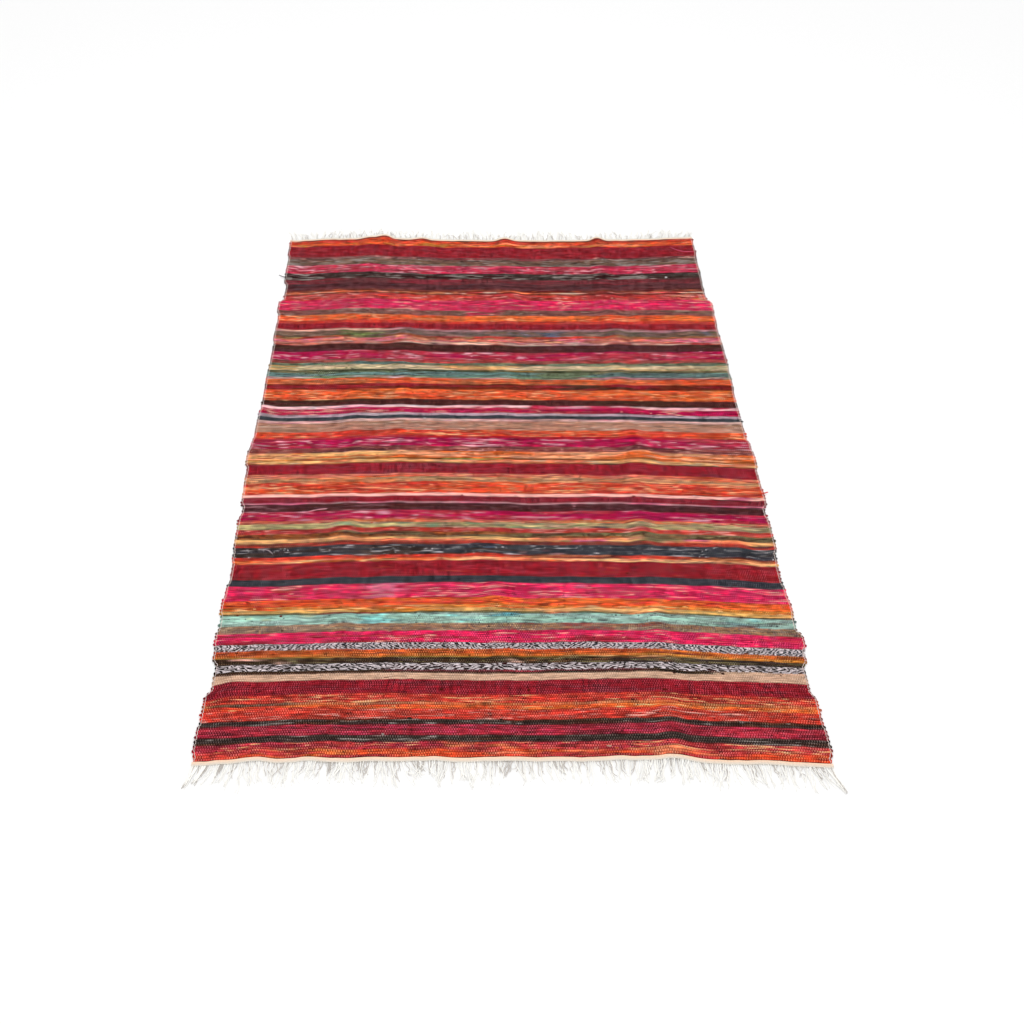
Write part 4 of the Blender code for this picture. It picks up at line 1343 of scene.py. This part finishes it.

    # Warps: each shows over every other pick, its neighbour over the picks between. Its cotton is
    # tinted by the dyed rags around it, and the rag beside it is darkened with painted shade.
    parity = (row + column) % 2.0
    du, dv = (in_column - 0.5) / 0.44, (in_pick - 0.5) / 0.52
    cell = node("ShaderNodeMapRange", {
        0: du * du + dv * dv, 1: 0.60, 2: 1.30, 3: 1.0, 4: 0.0}, **eased) * woven
    own = node("ShaderNodeTexWhiteNoise", {1: column}, noise_dimensions="1D")
    here = node("ShaderNodeMapRange", {
        0: field(7.0, 4.0, 9.2), 1: 0.36, 2: 0.64, 3: 0.35, 4: 1.10}, **eased)
    shows = (0.65 + own * 0.35) * cell * here
    dot, bead = shows * (1.0 - parity), shows * parity
    tinted = node("ShaderNodeGamma", {0: colour, 1: 0.57})
    colour = node("ShaderNodeMix", {0: dot, 6: colour, 7: tinted}, **mixed)
    # Painted shade on the rag beside each dot, less where a fleck shows.
    shade = 1.0 - bead * (0.60 - flecked * 0.30)
    colour = node("ShaderNodeVectorMath", {0: colour, 3: shade}, **scaled)

    # The valley between two rags is in the mesh. Its shade is painted too, broken along the rag,
    # with a small dark gap here and there.
    from_middle = abs(in_pick - 0.5) * 2.0
    deep = node("ShaderNodeMapRange", {
        0: field(8.0, 1.0, 2.6), 1: 0.30, 2: 0.62, 3: 0.15, 4: 0.72}, **eased)
    valley = node("ShaderNodeMapRange", {0: from_middle, 1: 0.62, 2: 0.95}, **eased)
    valley *= deep * woven
    gap = node("ShaderNodeMapRange", {0: lines(3.0, 2.0, 6.4), 1: 0.66, 2: 0.76}, **eased) * woven
    shade = (1.0 - valley) * (1.0 - gap * 0.72)
    colour = node("ShaderNodeVectorMath", {0: colour, 3: shade}, **scaled)

    # Bump: the rag swells between its warps and is nipped in where one crosses.
    finish_cotton(shader, colour, (bead - dot * 0.4) * 0.6 + fine * 0.6, 0.0007, 0.8)
    return material


def undyed_cotton(name, threads_across, threads_along):
    """Matte undyed cotton yarn, plied: off-white, with a fine slanting twist whose light and shade
    are painted in as faint grey bands.
    """
    material, shader = new_material(name, 0.92, 0.02, 0.10)
    node = functools.partial(add, material.node_tree)
    uv = node("ShaderNodeUVMap", uv_map="weave")
    across, along = (node("ShaderNodeSeparateXYZ", {0: uv}, output=axis) for axis in (0, 1))
    ground = node("ShaderNodeAttribute", attribute_name="ground", output="Color")
    # The ply repeats every 3 mm along the yarn. Its light and shade are painted into the colour as
    # pale and darker bands, which follow the bump's height.
    phase = along * threads_along + across * threads_across
    wave = node("ShaderNodeMath", {0: phase}, operation="SINE")
    place = node("ShaderNodeTexCoord", output="Object")
    fuzz = node("ShaderNodeTexNoise", {"Vector": place, "Scale": 900.0, "Detail": 2.0})
    height = wave + fuzz
    # Painted light and shade: the colour is lighter where the ply and fuzz stand high.
    tone = node("ShaderNodeMapRange", {0: height, 1: -0.6, 2: 1.6, 3: 0.96, 4: 1.04})
    grey = node("ShaderNodeCombineColor", {0: tone, 1: tone, 2: tone})
    colour = node("ShaderNodeMix", {0: 1.0, 6: ground, 7: grey}, output=2,
                  data_type="RGBA", blend_type="MULTIPLY")
    finish_cotton(shader, colour, height, 0.0003, 0.6)
    return material


def studio_white():
    """Seamless white studio sweep: matte and just uneven enough to be paper."""
    material, shader = new_material("white_studio_paper", 0.95, 0.0, 0.1)
    node = functools.partial(add, material.node_tree)
    place = node("ShaderNodeTexCoord", output="Object")
    grain = node("ShaderNodeTexNoise", {"Vector": place, "Scale": 60.0})
    tone = node("ShaderNodeMapRange", {0: grain, 3: 0.93, 4: 0.95})
    colour = node("ShaderNodeCombineColor", {0: tone, 1: tone, 2: tone})
    material.node_tree.links.new(colour.socket, shader.inputs["Base Color"])
    return material


# ------------------------------------------------------------------ stage, light and camera
CAMERA_PITCH = 47.78          # degrees down, from the slant of the two long edges
CAMERA_LENS_MM = 36.12        # on a sensor 36 mm wide
CAMERA_PLACE = (-0.1165, -2.1135, 2.0265)
CAMERA_SHIFT = 0.0525         # the rug lies left of the frame's middle with its ends level
SKY_LIGHT = 1.02
LAMP_PLACE = (0.0, 0.1, 2.4)
LAMP_SIZE = 1.6
LAMP_POWER = 14.0


def build_stage():
    """Floor, light and camera."""
    bpy.ops.object.select_all(action="DESELECT")
    bpy.ops.mesh.primitive_plane_add(size=14.0, location=(0.0, 0.0, FLOOR_DEPTH))
    floor = bpy.context.object
    floor.name = "studio_floor"
    floor.data.materials.append(studio_white())
    floor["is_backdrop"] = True

    world = bpy.data.worlds.new("soft_white_studio")
    bpy.context.scene.world = world
    world.use_nodes = True
    world.node_tree.nodes["Background"].inputs["Color"].default_value = (1.0, 1.0, 1.0, 1.0)
    world.node_tree.nodes["Background"].inputs["Strength"].default_value = SKY_LIGHT

    lamp = bpy.data.objects.new("softbox", bpy.data.lights.new("softbox", "AREA"))
    lamp.data.shape = "SQUARE"
    lamp.data.size = LAMP_SIZE
    lamp.data.energy = LAMP_POWER
    lamp.location = LAMP_PLACE
    bpy.context.scene.collection.objects.link(lamp)

    camera = bpy.data.objects.new("camera", bpy.data.cameras.new("camera"))
    camera.data.sensor_width = 36.0
    camera.data.lens = CAMERA_LENS_MM
    camera.data.shift_x = CAMERA_SHIFT
    camera.location = CAMERA_PLACE
    camera.rotation_euler = (math.radians(90.0 - CAMERA_PITCH), 0.0, 0.0)
    bpy.context.scene.collection.objects.link(camera)
    bpy.context.scene.camera = camera
    bpy.context.scene.view_settings.view_transform = "Standard"


build_field(cotton_rag_weave())
build_headings(undyed_cotton("plain_cotton_heading", 2.6, 6.0),
               undyed_cotton("plied_cotton_warp_ends", 6.283, 2.1))
build_stage()

bpy.context.view_layer.update()
({"cad": [list(corner) for corner in cad_box],
           "visual": [list(corner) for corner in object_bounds()]})
